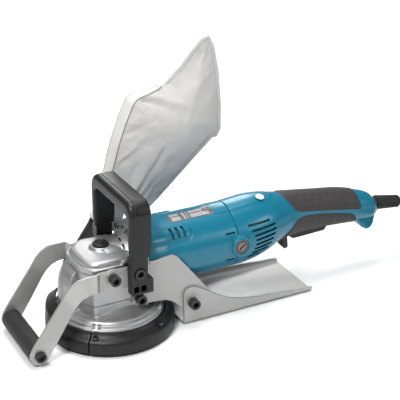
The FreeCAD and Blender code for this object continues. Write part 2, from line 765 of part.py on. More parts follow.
def build_rear_handle():
    wall = size["shell_wall"].value
    outer = handle_loft()
    hook = prism_y([(345.0, 78.0), (378.0, 82.0), (379.0, 66.0), (377.0, 50.5), (366.0, 45.0),
                    (357.0, 50.5), (350.0, 62.0)], -11.0, 22.0)
    hook = rounded(hook, 4.0, lambda edge: edge.BoundBox.YLength > 21.9 and edge.BoundBox.XMin > 346)
    inner = handle_loft(wall)
    guard_hole = cylinder(8.2, 40.0, (356.0, 0, 83.69), (0.988, 0, -0.156))
    trigger_room = block((233.5, -10.0, 50.0), (304.0, 10.0, 78.0))
    brush_bore = cylinder(9.3, 100.0, (157.2, -50.0, MOTOR_Z), (0, 1, 0))
    slots = []
    for i in range(8):
        length = (30, 32, 30, 27, 25, 23, 21, 15)[i]
        start = (169, 174, 178, 179, 179, 178, 175, 169)[i]
        z = 109.5 - 6.1 * i
        slots.append(block((start, -50.0, z - 1.0), (start + length, 50.0, z + 1.0)))
    boss = cylinder(12.6, 100.0, (157.2, -50.0, MOTOR_Z), (0, 1, 0))
    boss = boss.common(turned_x([(154.5, 36.0), (154.5, 43.8), (175.0, 43.8), (175.0, 36.0)]))
    solid = outer.fuse([hook, boss])
    shell = solid.cut(inner).cut(trigger_room).cut(guard_hole).cut(brush_bore).cut(slots)
    bulkhead = turned_x([(163.0, 11.05), (171.0, 11.05), (171.0, 37.0), (163.0, 37.0)])
    shell = shell.fuse(bulkhead.common(inner)).removeSplitter()
    pins = [cylinder(2.0, 24.0, (252.0, -12.0, 71.0), (0, 1, 0)),
            cylinder(1.5, 24.0, (242.3, -12.0, 69.0), (0, 1, 0))]
    solid_node("switch_pins", group(pins))
    screws = []
    for x, z, depth in ((216.0, 104.0, 30.6), (330.0, 92.0, 18.8), (365.0, 58.0, 11.0)):
        screws.append(cap_screw((x, depth - 3.0, z), (0, -1, 0), depth * 1.6, 3.0, 2.2, 1.6))
    solid_node("handle_screws", group(screws))
    shell = shell.cut(pins + screws)
    near_half = block((100.0, -90.0, 0.0), (420.0, -0.05, 200.0))
    solid_node("handle_half_left", largest(shell.common(near_half)))
    solid_node("handle_half_right", largest(shell.common(mirror_y(near_half))))

    pad_skin = handle_loft(-1.0).cut(handle_loft(-0.1))
    upper = prism_y([(224.0, 140.0), (226.0, 133.0), (248.0, 104.5), (280.0, 97.5), (348.0, 85.5),
                     (343.0, 125.0)], -40.0, 80.0)
    lower = prism_y([(226.0, 60.0), (226.0, 70.0), (240.0, 82.0), (248.0, 93.0), (258.0, 94.0),
                     (284.0, 91.0), (316.0, 84.5), (336.0, 79.0), (346.0, 64.0), (346.0, 55.0)],
                    -40.0, 80.0)
    lower = lower.cut(block((233.0, -10.3, 50.0), (304.3, 10.3, 78.3)))
    solid_node("upper_grip_pad", largest(pad_skin.common(upper).cut(screws)))
    pads = pad_skin.common(lower).cut(pins + screws)
    solid_node("lower_grip_pad", group([item for item in pads.Solids if item.Volume > 50.0]))

    solid_node("switch_body", block((252.0, -9.0, 80.0), (292.0, 9.0, 106.0)))
    trigger = prism_y([(247.5, 75.5), (301.5, 75.5), (301.5, 66.5), (298.5, 61.8), (278.0, 61.2),
                       (252.0, 60.4), (247.5, 63.0)], -8.6, 17.2)
    solid_node("trigger", trigger.cut(cylinder(2.05, 30.0, (252.0, -15.0, 71.0), (0, 1, 0))))
    lever = prism_y([(239.5, 72.0), (245.0, 72.0), (245.4, 60.0), (246.5, 48.5), (242.0, 46.2),
                     (235.5, 53.0), (238.5, 60.0)], -5.0, 10.0)
    solid_node("lock_off_lever", lever.cut(cylinder(1.55, 20.0, (242.3, -10.0, 69.0), (0, 1, 0))))


def largest(shape):
    return max(shape.Solids, key=lambda solid: solid.Volume)


# ---------------------------------------------------------------- shaft lock

def build_shaft_lock():
    top = size["gearbox_top"].value
    crown = cylinder(9.6, 3.0, (-9.0, 0, top - 0.2))
    crown = rounded(crown, 1.2, lambda edge: edge.BoundBox.ZMin > top + 2.7)
    stem = cylinder(2.2, 10.5, (LOCK_STATION, 0, top - 9.5))
    solid_node("shaft_lock_button", crown.fuse(stem).removeSplitter())
    turns = []
    for i in range(5):
        ring = Part.makeTorus(2.95, 0.4, Vector(LOCK_STATION, 0, top - 5.35 + 1.15 * i))
        turns.append(ring)
    solid_node("lock_spring", group(turns))


# ---------------------------------------------------------------- front handle

def build_front_handle():
    front, back = size["grip_front"].value, size["grip_back"].value
    half, top, foot = (size[name].value for name in ("grip_half_width", "grip_top", "grip_foot"))
    bar, leg = size["grip_bar"].value, size["grip_leg"].value
    outer = block((front, -half, foot), (back, half, top))
    outer = rounded(outer, 15.0, lambda edge: edge.BoundBox.XLength > 20 and edge.BoundBox.ZMin > top - 0.1
                    and abs(edge.BoundBox.Center.y) > half - 1)
    hollow = block((front - 1, -half + leg, foot - 1), (back + 1, half - leg, top - bar))
    hollow = rounded(hollow, 11.0, lambda edge: edge.BoundBox.XLength > 20
                     and edge.BoundBox.ZMin > top - bar - 0.1 and abs(edge.BoundBox.Center.y) > 30)
    grip = outer.cut(hollow)
    grip = rounded(grip, 4.0, lambda edge: edge.BoundBox.XLength < 0.01 and edge.BoundBox.ZMax > foot + 1)
    solid_node("front_grip", grip)

    brackets = []
    for side in (-1, 1):
        low, high = sorted((side * 44.6, side * 56.6))
        upper = block((5.0, low, 66.0), (25.5, high, foot - 0.05))
        lower = block((5.0, low, 64.5), (32.0, high, 82.0))
        shape = upper.fuse(lower).removeSplitter()
        for x in (7.5, 16.5):
            cut_low, cut_high = sorted((side * 48.0, side * 58.0))
            shape = shape.cut(block((x, cut_low, 67.5), (x + 6.5, cut_high, 75.5)))
        shape = shape.cut(cylinder(7.2, 10.0, (15.5, side * 50.5, 91.0), (0, side, 0)))
        shape = shape.cut(cylinder(4.05, 30.0, (15.5, side * 40.0, 91.0), (0, side, 0)))
        spacer_low, spacer_high = sorted((side * 39.0, side * 44.7))
        spacer = block((12.5, spacer_low, 82.0), (25.5, spacer_high, 97.0))
        brackets.append(shape.fuse(spacer).cut(FRAME_SCREWS).removeSplitter())
    solid_node("grip_brackets", group(brackets))


# ---------------------------------------------------------------- side plates and base

def build_side_plates():
    face, thickness = size["side_plate_face"], size["plate_thickness"]
    outline = [(33.4, 42.0), (47.0, 41.0), (56.0, 39.5), (65.0, 34.6), (75.0, 24.4), (84.0, 16.0),
               (100.0, 16.0), (114.0, 37.5), (104.0, 50.5), (86.0, 74.0), (71.5, 92.6), (65.5, 97.2),
               (34.5, 96.0), (34.5, 62.5), (13.0, 61.0), (11.0, 46.0), (20.0, 42.5)]
    holes = ((20.5, 51.0, size["screw_radius"] + 0.05), (89.0, 29.0, size["screw_radius"] + 0.05))
    corners = ((71.5, 92.6), (65.5, 97.2), (114.0, 37.5))
    padded("left_side_plate", "XZ_Plane", [outline], thickness, face - thickness, holes,
           ((4.0, corners),))
    padded("right_side_plate", "XZ_Plane", [outline], thickness, -face, holes, ((4.0, corners),))


def build_base():
    start, finish = size["base_start"].value, size["base_finish"].value
    half = size["base_half_width"].value
    sheet_gauge = size["plate_thickness"].value
    profile = [(start, 0.0), (finish, 0.0), (finish, 6.8), (251.0, 7.6), (234.0, 8.5), (206.0, 11.6),
               (178.5, 13.4), (158.0, 16.7), (138.0, 22.6), (118.0, 33.8), (102.0, 44.4),
               (95.0, 48.4), (88.0, 50.2), (81.0, 48.6), (start, 43.0)]
    trough = block((start - 1, -half, -1), (finish + 1, half, 60.0))
    hollow = block((start - 2, -half + sheet_gauge, sheet_gauge), (finish + 2, half - sheet_gauge, 61.0))
    bent = trough.cut(hollow)
    bent = rounded(bent, 4.0, lambda edge: edge.BoundBox.XLength > 150 and abs(edge.BoundBox.Center.z - 3) < 0.1)
    tray = prism_y(profile, -half, 2 * half)
    pan = bent.common(tray)
    pan = rounded(pan, 6.5, lambda edge: edge.BoundBox.XLength > 150 and edge.BoundBox.ZMax < 0.1
                  and abs(edge.BoundBox.Center.y) > half - 1)
    travel = size["depth_of_cut"].value
    radius = size["screw_radius"].value + 0.15
    slot = block((89.0 - radius, -60.0, 29.0 - travel), (89.0 + radius, 60.0, 29.0))
    ends = [cylinder(radius, 120.0, (89.0, -60.0, z), (0, 1, 0)) for z in (29.0 - travel, 29.0)]
    cover_room = cylinder(size["cover_radius"] + 1.5, 20.0, (0, 0, -5.0))
    solid_node("base_plate", pan.cut([slot, cover_room] + ends).removeSplitter())
    nuts = []
    for side in (-1, 1):
        nut = hexagon(Vector(89.0, side * 38.95, 29.0), Vector(0, -side, 0), 7.4, 6.0)
        nuts.append(nut.cut(cylinder(4.02, 14.0, (89.0, side * 40.0, 29.0), (0, -side, 0))))
    solid_node("base_nuts", group(nuts))


# ---------------------------------------------------------------- roller frame

def build_roller_frame():
    face, gauge = size["arm_face"].value, size["arm_thickness"].value
    pivot = (-size["arm_pivot_station"].value, size["arm_pivot_height"].value)
    axle = (-size["roller_station"].value, size["roller_height"].value)
    strap = [(-118.0, 20.5), (-114.5, 26.6), (-79.5, 75.0), (-73.0, 85.0), (-66.7, 91.5),
             (-57.5, 97.0), (-48.0, 98.3), (-35.0, 98.3), (-35.0, 76.0), (-45.0, 75.5), (-53.5, 72.5),
             (-60.5, 66.5), (-66.0, 59.5), (-81.6, 34.0), (-97.5, 9.5)]
    tongue = [(-30.0, 73.0), (8.0, 73.0), (8.0, 96.5), (-30.0, 96.5)]
    arms = []
    for side, label in ((-1, "left_roller_arm"), (1, "right_roller_arm")):
        outer_low, outer_high = sorted((side * face, side * (face - gauge)))
        inner_low, inner_high = sorted((side * 44.2, side * (44.2 - gauge)))
        link = Part.makeLoft([
            Part.makePolygon([Vector(-35.0, y, z) for y, z in
                              ((outer_low, 76.0), (outer_high, 76.0), (outer_high, 98.3),
                               (outer_low, 98.3), (outer_low, 76.0))]),
            Part.makePolygon([Vector(-30.0, y, z) for y, z in
                              ((inner_low, 73.0), (inner_high, 73.0), (inner_high, 96.5),
                               (inner_low, 96.5), (inner_low, 73.0))])], True, True)
        round_end = cylinder(11.6, gauge, (axle[0], outer_low, axle[1]), (0, 1, 0))
        shape = prism_y(strap, outer_low, gauge).fuse([
            round_end, link, prism_y(tongue, inner_low, gauge)])
        shape = shape.cut([
            cylinder(4.05, 30.0, (pivot[0], side * 35.0, pivot[1]), (0, side, 0)),
            cylinder(4.02, 30.0, (axle[0], side * 40.0, axle[1]), (0, side, 0))])
        arms.append(shape.removeSplitter())
        solid_node(label, arms[-1])
    reach = face - gauge - 0.4
    tube = cylinder(size["roller_radius"], 2 * reach - 1.0, (axle[0], -reach + 0.5, axle[1]), (0, 1, 0))
    tube = tube.cut(cylinder(4.05, 120.0, (axle[0], -60.0, axle[1]), (0, 1, 0)))
    solid_node("roller", tube)
    solid_node("roller_axle", cylinder(4.0, 2 * face - 0.2, (axle[0], -face + 0.1, axle[1]), (0, 1, 0)))
    screws = [cap_screw((axle[0], side * (face + 0.02), axle[1]), (0, -side, 0), 0.05, None, 4.2, 3.0)
              for side in (-1, 1)]
    solid_node("roller_screws", group(screws))


# ---------------------------------------------------------------- cord

CORD_EXIT = Vector(418.0, 0.0, 73.9)
CORD_ROUTE = [
    (418.0, 0.0, 73.9),
    (439.0, -0.5, 69.5),
    (457.0, -3.0, 55.0),
    (469.5, -7.0, 35.5),
    (483.5, -13.5, 18.5),
    (500.0, -24.0, 7.8),
    (514.0, -42.0, 4.6),
    (519.5, -64.0, 4.0),
]


def rounded_route(points):
    """Straight runs joined by tangent arcs; prints each arc's radius."""
    corners = [Vector(*point) for point in points]
    edges = []
    at = corners[0]
    for before, corner, after in zip(corners, corners[1:], corners[2:]):
        into = corner - before
        away = after - corner
        turn = into.getAngle(away)
        cut = 0.45 * min(into.Length, away.Length)
        radius = cut / math.tan(turn / 2)
        into.normalize()
        away.normalize()
        arc_start = corner - into * cut
        arc_end = corner + away * cut
        middle = corner + (away - into).normalize() * (radius / math.cos(turn / 2) - radius)
        edges.append(Part.LineSegment(at, arc_start).toShape())
        edges.append(Part.Arc(arc_start, middle, arc_end).toShape())
        at = arc_end
        print("cord bend radius %.1f mm at a turn of %.0f degrees" % (radius, math.degrees(turn)))
    edges.append(Part.LineSegment(at, corners[-1]).toShape())
    return Part.Wire(edges)


def build_cord():
    radius = size["cord_radius"].value
    droop = Vector(0.988, 0, -0.156).normalize()
    seat = Vector(364.0, 0, CORD_EXIT.z + (CORD_EXIT.x - 364.0) * 0.156 / 0.988)
    plain = 17.8
    guard = Part.makeCylinder(8.1, plain, seat, droop)
    flare = Part.makeCone(9.4, 8.2, (CORD_EXIT - seat).Length - plain, seat + droop * plain, droop)
    hole = Part.makeCylinder(radius + 0.02, 80.0, seat - droop * 2, droop)
    solid_node("cord_guard", guard.fuse(flare).cut(hole).removeSplitter())
    path = rounded_route(CORD_ROUTE)
    first = (Vector(*CORD_ROUTE[1]) - Vector(*CORD_ROUTE[0])).normalize()
    ring = Part.Wire([Part.Circle(Vector(*CORD_ROUTE[0]), first, radius).toShape()])
    tube = path.makePipeShell([ring], True, False)
    ideal = math.pi * radius ** 2 * path.Length
    print("cord tube length %.1f mm, volume is %.4f of the ideal" % (path.Length, tube.Volume / ideal))
    solid_node("power_cord", tube)

    middle = size["coil_middle_radius"].value
    inner, outer = middle - 3 * radius, middle + 3 * radius
    centre = Vector(size["coil_station"].value, -size["coil_side"].value, 0)
    ring = Part.makeCylinder(outer, 6 * radius, centre).cut(Part.makeCylinder(inner, 6 * radius, centre))
    solid_node("cord_coil", ring)
    thick = 6 * radius
    tie = block((centre.x - outer - 1.4, centre.y - 5, 0.2),
                (centre.x - inner + 1.8, centre.y + 5, thick + 1.4))
    tie = tie.cut(block((centre.x - outer - 0.3, centre.y - 6, -1),
                        (centre.x - inner + 0.6, centre.y + 6, thick + 0.05)))
    solid_node("cord_tie", tie)

    height = 6 * radius + 0.1
    tail = Vector(centre.x + 34.0, centre.y - middle, height + 12.0)
    back = Vector(-1, 0, 0)
    relief = Part.makeCone(5.0, 8.0, 22.0, tail, back)
    body = Part.makeCylinder(16.0, 26.0, tail + back * 22.0, back)
    body = body.common(block((0, centre.y - middle - 30, height), (900, centre.y - middle + 30, height + 24.0)))
    neck = Part.makeCone(8.0, 12.0, 6.0, tail + back * 16.5, back)
    pins = [Part.makeCylinder(2.4, 21.0, tail + back * 46.0 + Vector(0, offset, 0), back)
            for offset in (-9.5, 9.5)]
    solid_node("mains_plug", body.fuse([relief, neck] + pins).removeSplitter())


build_wheel_group()
build_gears()
build_bearings()
build_castings()
build_dust_cover()
build_dust_line()
build_motor()
build_rear_handle()
build_shaft_lock()
build_front_handle()
build_side_plates()
build_base()
build_roller_frame()
solid_node("frame_screws", group(FRAME_SCREWS))
build_cord()

doc.recompute()
for item in doc.Objects:
    if "Invalid" in item.State or "Error" in item.State:
        raise RuntimeError("failed object: " + item.Name)
for item in SUBPARTS:
    if item.Shape.isNull() or not item.Shape.isValid():
        raise RuntimeError("bad shape: " + item.Label)

os.makedirs("parts", exist_ok=True)
for item in SUBPARTS:
    item.Shape.exportStep("parts/" + item.Label + ".step")
    box = item.Shape.BoundBox
    print("%-20s %2d solids %9.0f mm3  x %7.1f..%6.1f  y %6.1f..%6.1f  z %6.1f..%6.1f" % (
        item.Label, len(item.Shape.Solids), item.Shape.Volume,
        box.XMin, box.XMax, box.YMin, box.YMax, box.ZMin, box.ZMax))
print(len(SUBPARTS), "sub-parts")
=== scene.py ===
import contextlib
import json
import math
import random

import bmesh
import bpy
from mathutils import Matrix, Vector, geometry, noise
from mathutils.bvhtree import BVHTree


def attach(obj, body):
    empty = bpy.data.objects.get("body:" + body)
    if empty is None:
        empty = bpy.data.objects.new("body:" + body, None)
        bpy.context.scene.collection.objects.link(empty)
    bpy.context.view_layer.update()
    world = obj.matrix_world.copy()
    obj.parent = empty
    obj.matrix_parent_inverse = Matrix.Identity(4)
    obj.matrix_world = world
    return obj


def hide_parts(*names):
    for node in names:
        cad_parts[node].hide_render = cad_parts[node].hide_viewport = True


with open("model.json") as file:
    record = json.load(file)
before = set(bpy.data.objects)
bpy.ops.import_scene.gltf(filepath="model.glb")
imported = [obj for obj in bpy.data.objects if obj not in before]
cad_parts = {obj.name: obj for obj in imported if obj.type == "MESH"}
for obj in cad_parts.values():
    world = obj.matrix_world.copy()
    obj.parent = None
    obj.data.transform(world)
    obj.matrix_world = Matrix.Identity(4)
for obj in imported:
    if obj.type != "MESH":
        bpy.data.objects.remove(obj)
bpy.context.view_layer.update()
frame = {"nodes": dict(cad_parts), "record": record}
NODES = frame["nodes"]
MM = 0.001
scene = bpy.context.scene

# Places that several pieces share, in millimetres. The origin is on the work face below the
# wheel's axis, X runs to the rear and Z up, and the camera's side is -Y.
MOTOR_Z = 86.5
MOTOR_RADIUS = 40.8
HOUSING_START, HOUSING_END = 34.0, 153.9
HANDLE_START = 154.4
BRUSH_X = 157.2
PLATE_FACE = 38.9
ARM_SCREW = (-12.7, 86.0)
LOW_SCREW = (20.5, 51.0)
LID_SCREW = (5.5, 98.0)
BUTTON_X, BUTTON_STEM_X = -9.0, -14.5
PLUG_Y, PLUG_Z = -122.0, 34.9
BAG_MOUTH, BAG_NECK = 8.4, 18.4


def add(name, data):
    item = bpy.data.objects.new(name, data)
    scene.collection.objects.link(item)
    return item


# ------------------------------------------------------------------ camera and light


def build_studio():
    data = bpy.data.cameras.new("camera")
    data.lens, data.sensor_width = 109.74, 36.0
    data.clip_start, data.clip_end = 0.05, 30.0
    camera = add("camera", data)
    camera.location = (-0.49569, -1.18023, 0.75689)
    camera.rotation_euler = (math.radians(65.11), 0.0, math.radians(-27.64))
    scene.camera = camera

    world = bpy.data.worlds.new("studio")
    scene.world = world
    world.use_nodes = True
    nodes, links = world.node_tree.nodes, world.node_tree.links
    backdrop = nodes["Background"]
    where = nodes.new("ShaderNodeTexCoord")
    split = nodes.new("ShaderNodeSeparateXYZ")
    fade = nodes.new("ShaderNodeValToRGB")
    fade.color_ramp.elements[0].position = 0.45
    fade.color_ramp.elements[0].color = (0.16, 0.16, 0.16, 1)
    fade.color_ramp.elements[1].position = 0.85
    fade.color_ramp.elements[1].color = (1.0, 1.0, 1.0, 1)
    scale = nodes.new("ShaderNodeMath")
    scale.operation = "MULTIPLY_ADD"
    scale.inputs[1].default_value = scale.inputs[2].default_value = 0.5
    links.new(where.outputs["Generated"], split.inputs[0])
    links.new(split.outputs["Z"], scale.inputs[0])
    links.new(scale.outputs[0], fade.inputs[0])
    links.new(fade.outputs[0], backdrop.inputs["Color"])
    backdrop.inputs["Strength"].default_value = 0.30
    scene.view_settings.view_transform = "Standard"
    scene.view_settings.look = "Medium High Contrast"

    lamps = (
        # name, place, aimed at, size, watts
        ("key", (-0.9, -0.7, 1.6), (0.05, 0, 0.08), 0.55, 22.0),
        ("fill", (1.2, -1.3, 0.8), (0.15, 0, 0.08), 0.6, 5.0),
        ("top", (0.2, 0.3, 1.8), (0.1, 0, 0.1), 0.7, 17.0),
        ("rim", (0.7, 1.4, 1.0), (0.1, 0, 0.1), 0.7, 9.0),
    )
    for name, place, target, width, watts in lamps:
        light = bpy.data.lights.new(name, "AREA")
        light.size, light.energy = width, watts
        lamp = add(name, light)
        lamp.location = place
        lamp.rotation_euler = (Vector(target) - Vector(place)).to_track_quat("-Z", "Y").to_euler()


# ------------------------------------------------------------------ materials


def material(name, color, rough, metallic=0.0, mottle=0.07, mottle_scale=40.0, grain=0.0,
             grain_scale=900.0, spread=0.08, wear=0.0, coat=0.0, sheen=0.0, weave=0.0,
             thread=0.0011, brushed=None):
    """A shader with a mottled colour and roughness, worn edges and a fine grain or weave."""
    made = bpy.data.materials.new(name)
    made.use_nodes = True
    nodes, links = made.node_tree.nodes, made.node_tree.links
    shader = nodes["Principled BSDF"]

    def fill(target, settings):
        for socket, value in settings.items():
            target.inputs[socket].default_value = value

    def node(kind, sources=None, **settings):
        fresh = nodes.new("ShaderNode" + kind)
        fill(fresh, {socket.replace("_", " "): value for socket, value in settings.items()})
        for socket, source in (sources or {}).items():
            links.new(source, fresh.inputs[socket])
        return fresh

    fill(shader, {"Metallic": metallic})
    if coat:
        fill(shader, {"Coat Weight": coat, "Coat Roughness": 0.18})
    if sheen:
        fill(shader, {"Sheen Weight": sheen, "Sheen Roughness": 0.6})
    place = node("TexCoord").outputs["Object"]

    def cloud(scale, detail=3.0, stretch=None):
        source = place
        if stretch:
            source = node("Mapping", {"Vector": place}, Scale=stretch).outputs[0]
        return node("TexNoise", {"Vector": source}, Scale=scale, Detail=detail).outputs["Fac"]

    def mixed(fraction, first, second):
        mix = node("Mix")
        mix.data_type = "RGBA"
        links.new(fraction, mix.inputs["Factor"])
        for socket, value in ((mix.inputs[6], first), (mix.inputs[7], second)):
            if isinstance(value, tuple):
                socket.default_value = (*value, 1.0)
            else:
                links.new(value, socket)
        return mix.outputs[2]

    def shade(amount):
        return tuple(min(1.0, channel * amount) for channel in color)

    tint = mixed(cloud(mottle_scale, 5.0), shade(1 - mottle), shade(1 + mottle))
    if wear:
        edges = node("ValToRGB", {0: node("NewGeometry").outputs["Pointiness"]})
        for stop, position, level in zip(edges.color_ramp.elements, (0.52, 0.60), (0, wear)):
            stop.position, stop.color = position, (level, level, level, 1)
        pale = tuple(0.5 * channel + 0.5 * 0.8 for channel in color)
        tint = mixed(edges.outputs[0], tint, pale)
    links.new(tint, shader.inputs["Base Color"])

    gloss = node("MapRange", {"Value": cloud(mottle_scale * 2.3, 4.0, brushed)},
                 To_Min=max(0.02, rough - spread), To_Max=min(1.0, rough + spread))
    links.new(gloss.outputs[0], shader.inputs["Roughness"])

    height = cloud(grain_scale, 2.0, brushed) if grain else None
    if weave:
        threads = []
        for axis in ("X", "Z"):
            turn = node("Mapping", {"Vector": place}, Rotation=(0.0, math.radians(36.0), 0.0))
            wave = node("TexWave", {"Vector": turn.outputs[0]}, Distortion=0.6, Detail=1.0,
                        Scale=2 * math.pi / (20 * thread))
            wave.bands_direction = axis
            threads.append(wave.outputs["Fac"])
        cross = node("Math", {0: threads[0], 1: threads[1]})
        cross.operation = "ADD"
        height = cross.outputs[0]
    if height is not None:
        bump = node("Bump", {"Height": height}, Strength=weave or grain, Distance=0.0003)
        links.new(bump.outputs[0], shader.inputs["Normal"])
    return made


MATERIALS = {}


def slot_look(name, *settings, **more):
    MATERIALS[name] = material(name, *settings, **more)


slot_look("machined_steel", (0.60, 0.60, 0.62), 0.30, 1.0, grain=0.15, brushed=(1.0, 1.0, 8.0))
slot_look("wheel_paint", (0.16, 0.17, 0.19), 0.42, 0.3, grain=0.1, wear=0.6)
slot_look("diamond_grit", (0.30, 0.29, 0.27), 0.62, 0.6, 0.25, 900.0, 0.8, 1600.0)
slot_look("cast_aluminium", (0.45, 0.45, 0.455), 0.43, 0.78, 0.05, 60.0, 0.22, 1300.0, 0.07,
          wear=0.35)
slot_look("steel_sheet", (0.42, 0.42, 0.415), 0.50, 0.55, 0.04, 70.0, 0.12, 2200.0, 0.05,
          wear=0.4)
slot_look("black_plastic", (0.016, 0.016, 0.017), 0.42, 0.0, 0.10, 60.0, 0.16, 1900.0)
slot_look("teal_plastic", (0.002, 0.170, 0.260), 0.34, 0.0, 0.05, 45.0, 0.05, 1700.0, 0.04,
          coat=0.35)
slot_look("grip_rubber", (0.055, 0.052, 0.053), 0.62, 0.0, 0.12, 120.0, 0.30, 2100.0)
slot_look("black_rubber", (0.022, 0.022, 0.023), 0.55, 0.0, 0.12, 60.0, 0.22, 1500.0)
slot_look("roller_rubber", (0.030, 0.030, 0.031), 0.62, 0.0, 0.15, 60.0, 0.35, 1300.0)
slot_look("bristle", (0.035, 0.035, 0.036), 0.52, 0.0, 0.30, 700.0, 0.3, 1800.0)
slot_look("black_screw", (0.045, 0.045, 0.048), 0.34, 0.65, 0.12, 200.0, 0.15, 1500.0, wear=0.35)
slot_look("bag_cloth", (0.62, 0.61, 0.60), 0.92, 0.0, 0.07, 55.0, sheen=0.10, weave=0.55)
slot_look("lamination", (0.27, 0.27, 0.28), 0.42, 0.9, 0.15, 60.0, 0.5, 900.0,
          brushed=(30.0, 1.0, 1.0))
slot_look("copper", (0.62, 0.25, 0.10), 0.34, 0.9, 0.15, 200.0, 0.5, 1400.0,
          brushed=(1.0, 8.0, 1.0))
slot_look("brass", (0.66, 0.49, 0.20), 0.34, 1.0, 0.08, 60.0, 0.12)
slot_look("carbon", (0.030, 0.030, 0.031), 0.48, 0.1, 0.2, 300.0, 0.3)
slot_look("brush_cap", (0.20, 0.178, 0.170), 0.42, 0.0, 0.12, 300.0, 0.25, 1500.0)
slot_look("cord_rubber", (0.020, 0.020, 0.021), 0.50, 0.0, 0.12, 90.0, 0.2, 1500.0)
slot_look("cord_tie", (0.06, 0.06, 0.062), 0.80, 0.0, 0.2, 900.0, 0.6, 2400.0)
LABEL = material("blank_label", (0.13, 0.125, 0.125), 0.42, 0.2, 0.10, 300.0, 0.1, coat=0.2)
PANEL = material("label_panels", (0.36, 0.36, 0.37), 0.45, 0.1, 0.45, 1300.0, 0.1)
PALE = material("pale_print", (0.78, 0.79, 0.80), 0.40, 0.0, 0.03, 200.0, 0.05, coat=0.2)
STITCH = material("stitching", (0.30, 0.295, 0.29), 0.90, 0.0, 0.10, 900.0, 0.5, 2500.0)


def paint(item, look):
    item.data.materials.clear()
    item.data.materials.append(look)


def bevel(item, width, segments=2, angle=35.0):
    edge = item.modifiers.new("edge", "BEVEL")
    edge.width = width * MM
    edge.segments = segments
    edge.limit_method = "ANGLE"
    edge.angle_limit = math.radians(angle)
    edge.use_clamp_overlap = True


def finish_cad_nodes():
    """Gives every CAD node its material, and softens the edges of those that show."""
    slots = {row["node"]: row["material_slot"] for row in frame["record"]["subparts"]}
    for name, item in NODES.items():
        paint(item, MATERIALS[slots[name]])
        item.data.polygons.foreach_set("use_smooth", [True] * len(item.data.polygons))
        weld = item.modifiers.new("weld", "WELD")
        weld.merge_threshold = 1e-6
        width = EDGE_WIDTHS.get(name, 0.25)
        if width:
            bevel(item, width)
        item.modifiers.new("normals", "WEIGHTED_NORMAL")


# Millimetres, for nodes that differ from the usual 0.25. Zero leaves the edges sharp.
EDGE_WIDTHS = {
    "left_side_plate": 0.7, "right_side_plate": 0.7, "left_roller_arm": 0.8,
    "right_roller_arm": 0.8, "base_plate": 0.6, "grip_brackets": 1.0, "frame_screws": 0.5,
    "dust_cover": 0.5, "front_dust_cover": 0.5, "roller": 1.0, "cooling_fan": 0.0,
    "armature_core": 0.0, "lock_spring": 0.0,
}

# ------------------------------------------------------------------ mesh tools (millimetres)


@contextlib.contextmanager
def editing(item):
    """The item's mesh opened for editing, and written back at the end."""
    work = bmesh.new()
    work.from_mesh(item.data)
    yield work
    work.to_mesh(item.data)
    work.free()


def turns(count):
    """Equal steps of angle round a full circle, in radians."""
    return [math.radians(360 * i / count) for i in range(count)]


def place_mesh(name, points, faces):
    mesh = bpy.data.meshes.new(name)
    mesh.from_pydata([(x * MM, y * MM, z * MM) for x, y, z in points], [], faces)
    item = add(name, mesh)
    with editing(item) as work:
        bmesh.ops.recalc_face_normals(work, faces=work.faces)
    return item


def loft(name, rings, closed=False):
    """A skin through rings of equally many points, with flat ends unless it closes on itself."""
    count = len(rings[0])
    points = [point for ring in rings for point in ring]
    faces = []
    spans = len(rings) if closed else len(rings) - 1
    for i in range(spans):
        here, there = i * count, (i + 1) % len(rings) * count
        for j in range(count):
            k = (j + 1) % count
            faces.append((here + j, here + k, there + k, there + j))
    if not closed:
        faces.append(tuple(reversed(range(count))))
        faces.append(tuple((len(rings) - 1) * count + j for j in range(count)))
    return place_mesh(name, points, faces)


def lathe(name, profile, start=0.0, sweep=360.0, steps=None, centre=(0.0, 0.0), axis="Z"):
    """A closed profile of (radius, height) turned about a vertical or lengthwise axis."""
    full = sweep >= 359.9
    steps = steps or max(6, int(sweep / 2.5))
    rings = []
    for i in range(steps if full else steps + 1):
        angle = math.radians(start + sweep * i / steps)
        c, s = math.cos(angle), math.sin(angle)
        if axis == "Z":
            rings.append([(centre[0] + r * c, centre[1] + r * s, h) for r, h in profile])
        else:
            rings.append([(h, centre[0] + r * c, centre[1] + r * s) for r, h in profile])
    return loft(name, rings, full)


def filleted(corners, radius, steps=5):
    """A 2-D outline whose corners are rounded. radius is one number or one for each corner."""
    radii = radius if isinstance(radius, (list, tuple)) else [radius] * len(corners)
    outline = []
    for i, corner in enumerate(corners):
        here = Vector(corner)
        before = Vector(corners[i - 1]) - here
        after = Vector(corners[(i + 1) % len(corners)]) - here
        reach = min(radii[i], 0.45 * before.length, 0.45 * after.length)
        if reach < 0.05:
            outline.append(tuple(here))
            continue
        first, last = here + before.normalized() * reach, here + after.normalized() * reach
        for j in range(steps + 1):
            t = j / steps
            outline.append(tuple(first * (1 - t) ** 2 + here * (2 * t * (1 - t)) + last * t ** 2))
    return outline


def prism(name, outline, low, high, plane="XY"):
    """An outline pushed from low to high along the third axis."""
    def at(u, v, w):
        return {"XY": (u, v, w), "XZ": (u, w, v), "YZ": (w, u, v)}[plane]
    return loft(name, [[at(u, v, w) for u, v in outline] for w in (low, high)])


def brick(name, low, high):
    (x0, y0, z0), (x1, y1, z1) = low, high
    return prism(name, [(x0, y0), (x1, y0), (x1, y1), (x0, y1)], z0, z1)


def rod(name, radius, start, end, sides=32, end_radius=None):
    """A round bar between two points, which may taper."""
    start, end = Vector(start), Vector(end)
    turn = (end - start).to_track_quat("Z", "Y")
    rings = []
    for where, r in ((start, radius), (end, end_radius or radius)):
        rings.append([tuple(where + turn @ Vector((r * math.cos(2 * math.pi * j / sides),
                                                   r * math.sin(2 * math.pi * j / sides), 0)))
                      for j in range(sides)])
    return loft(name, rings)


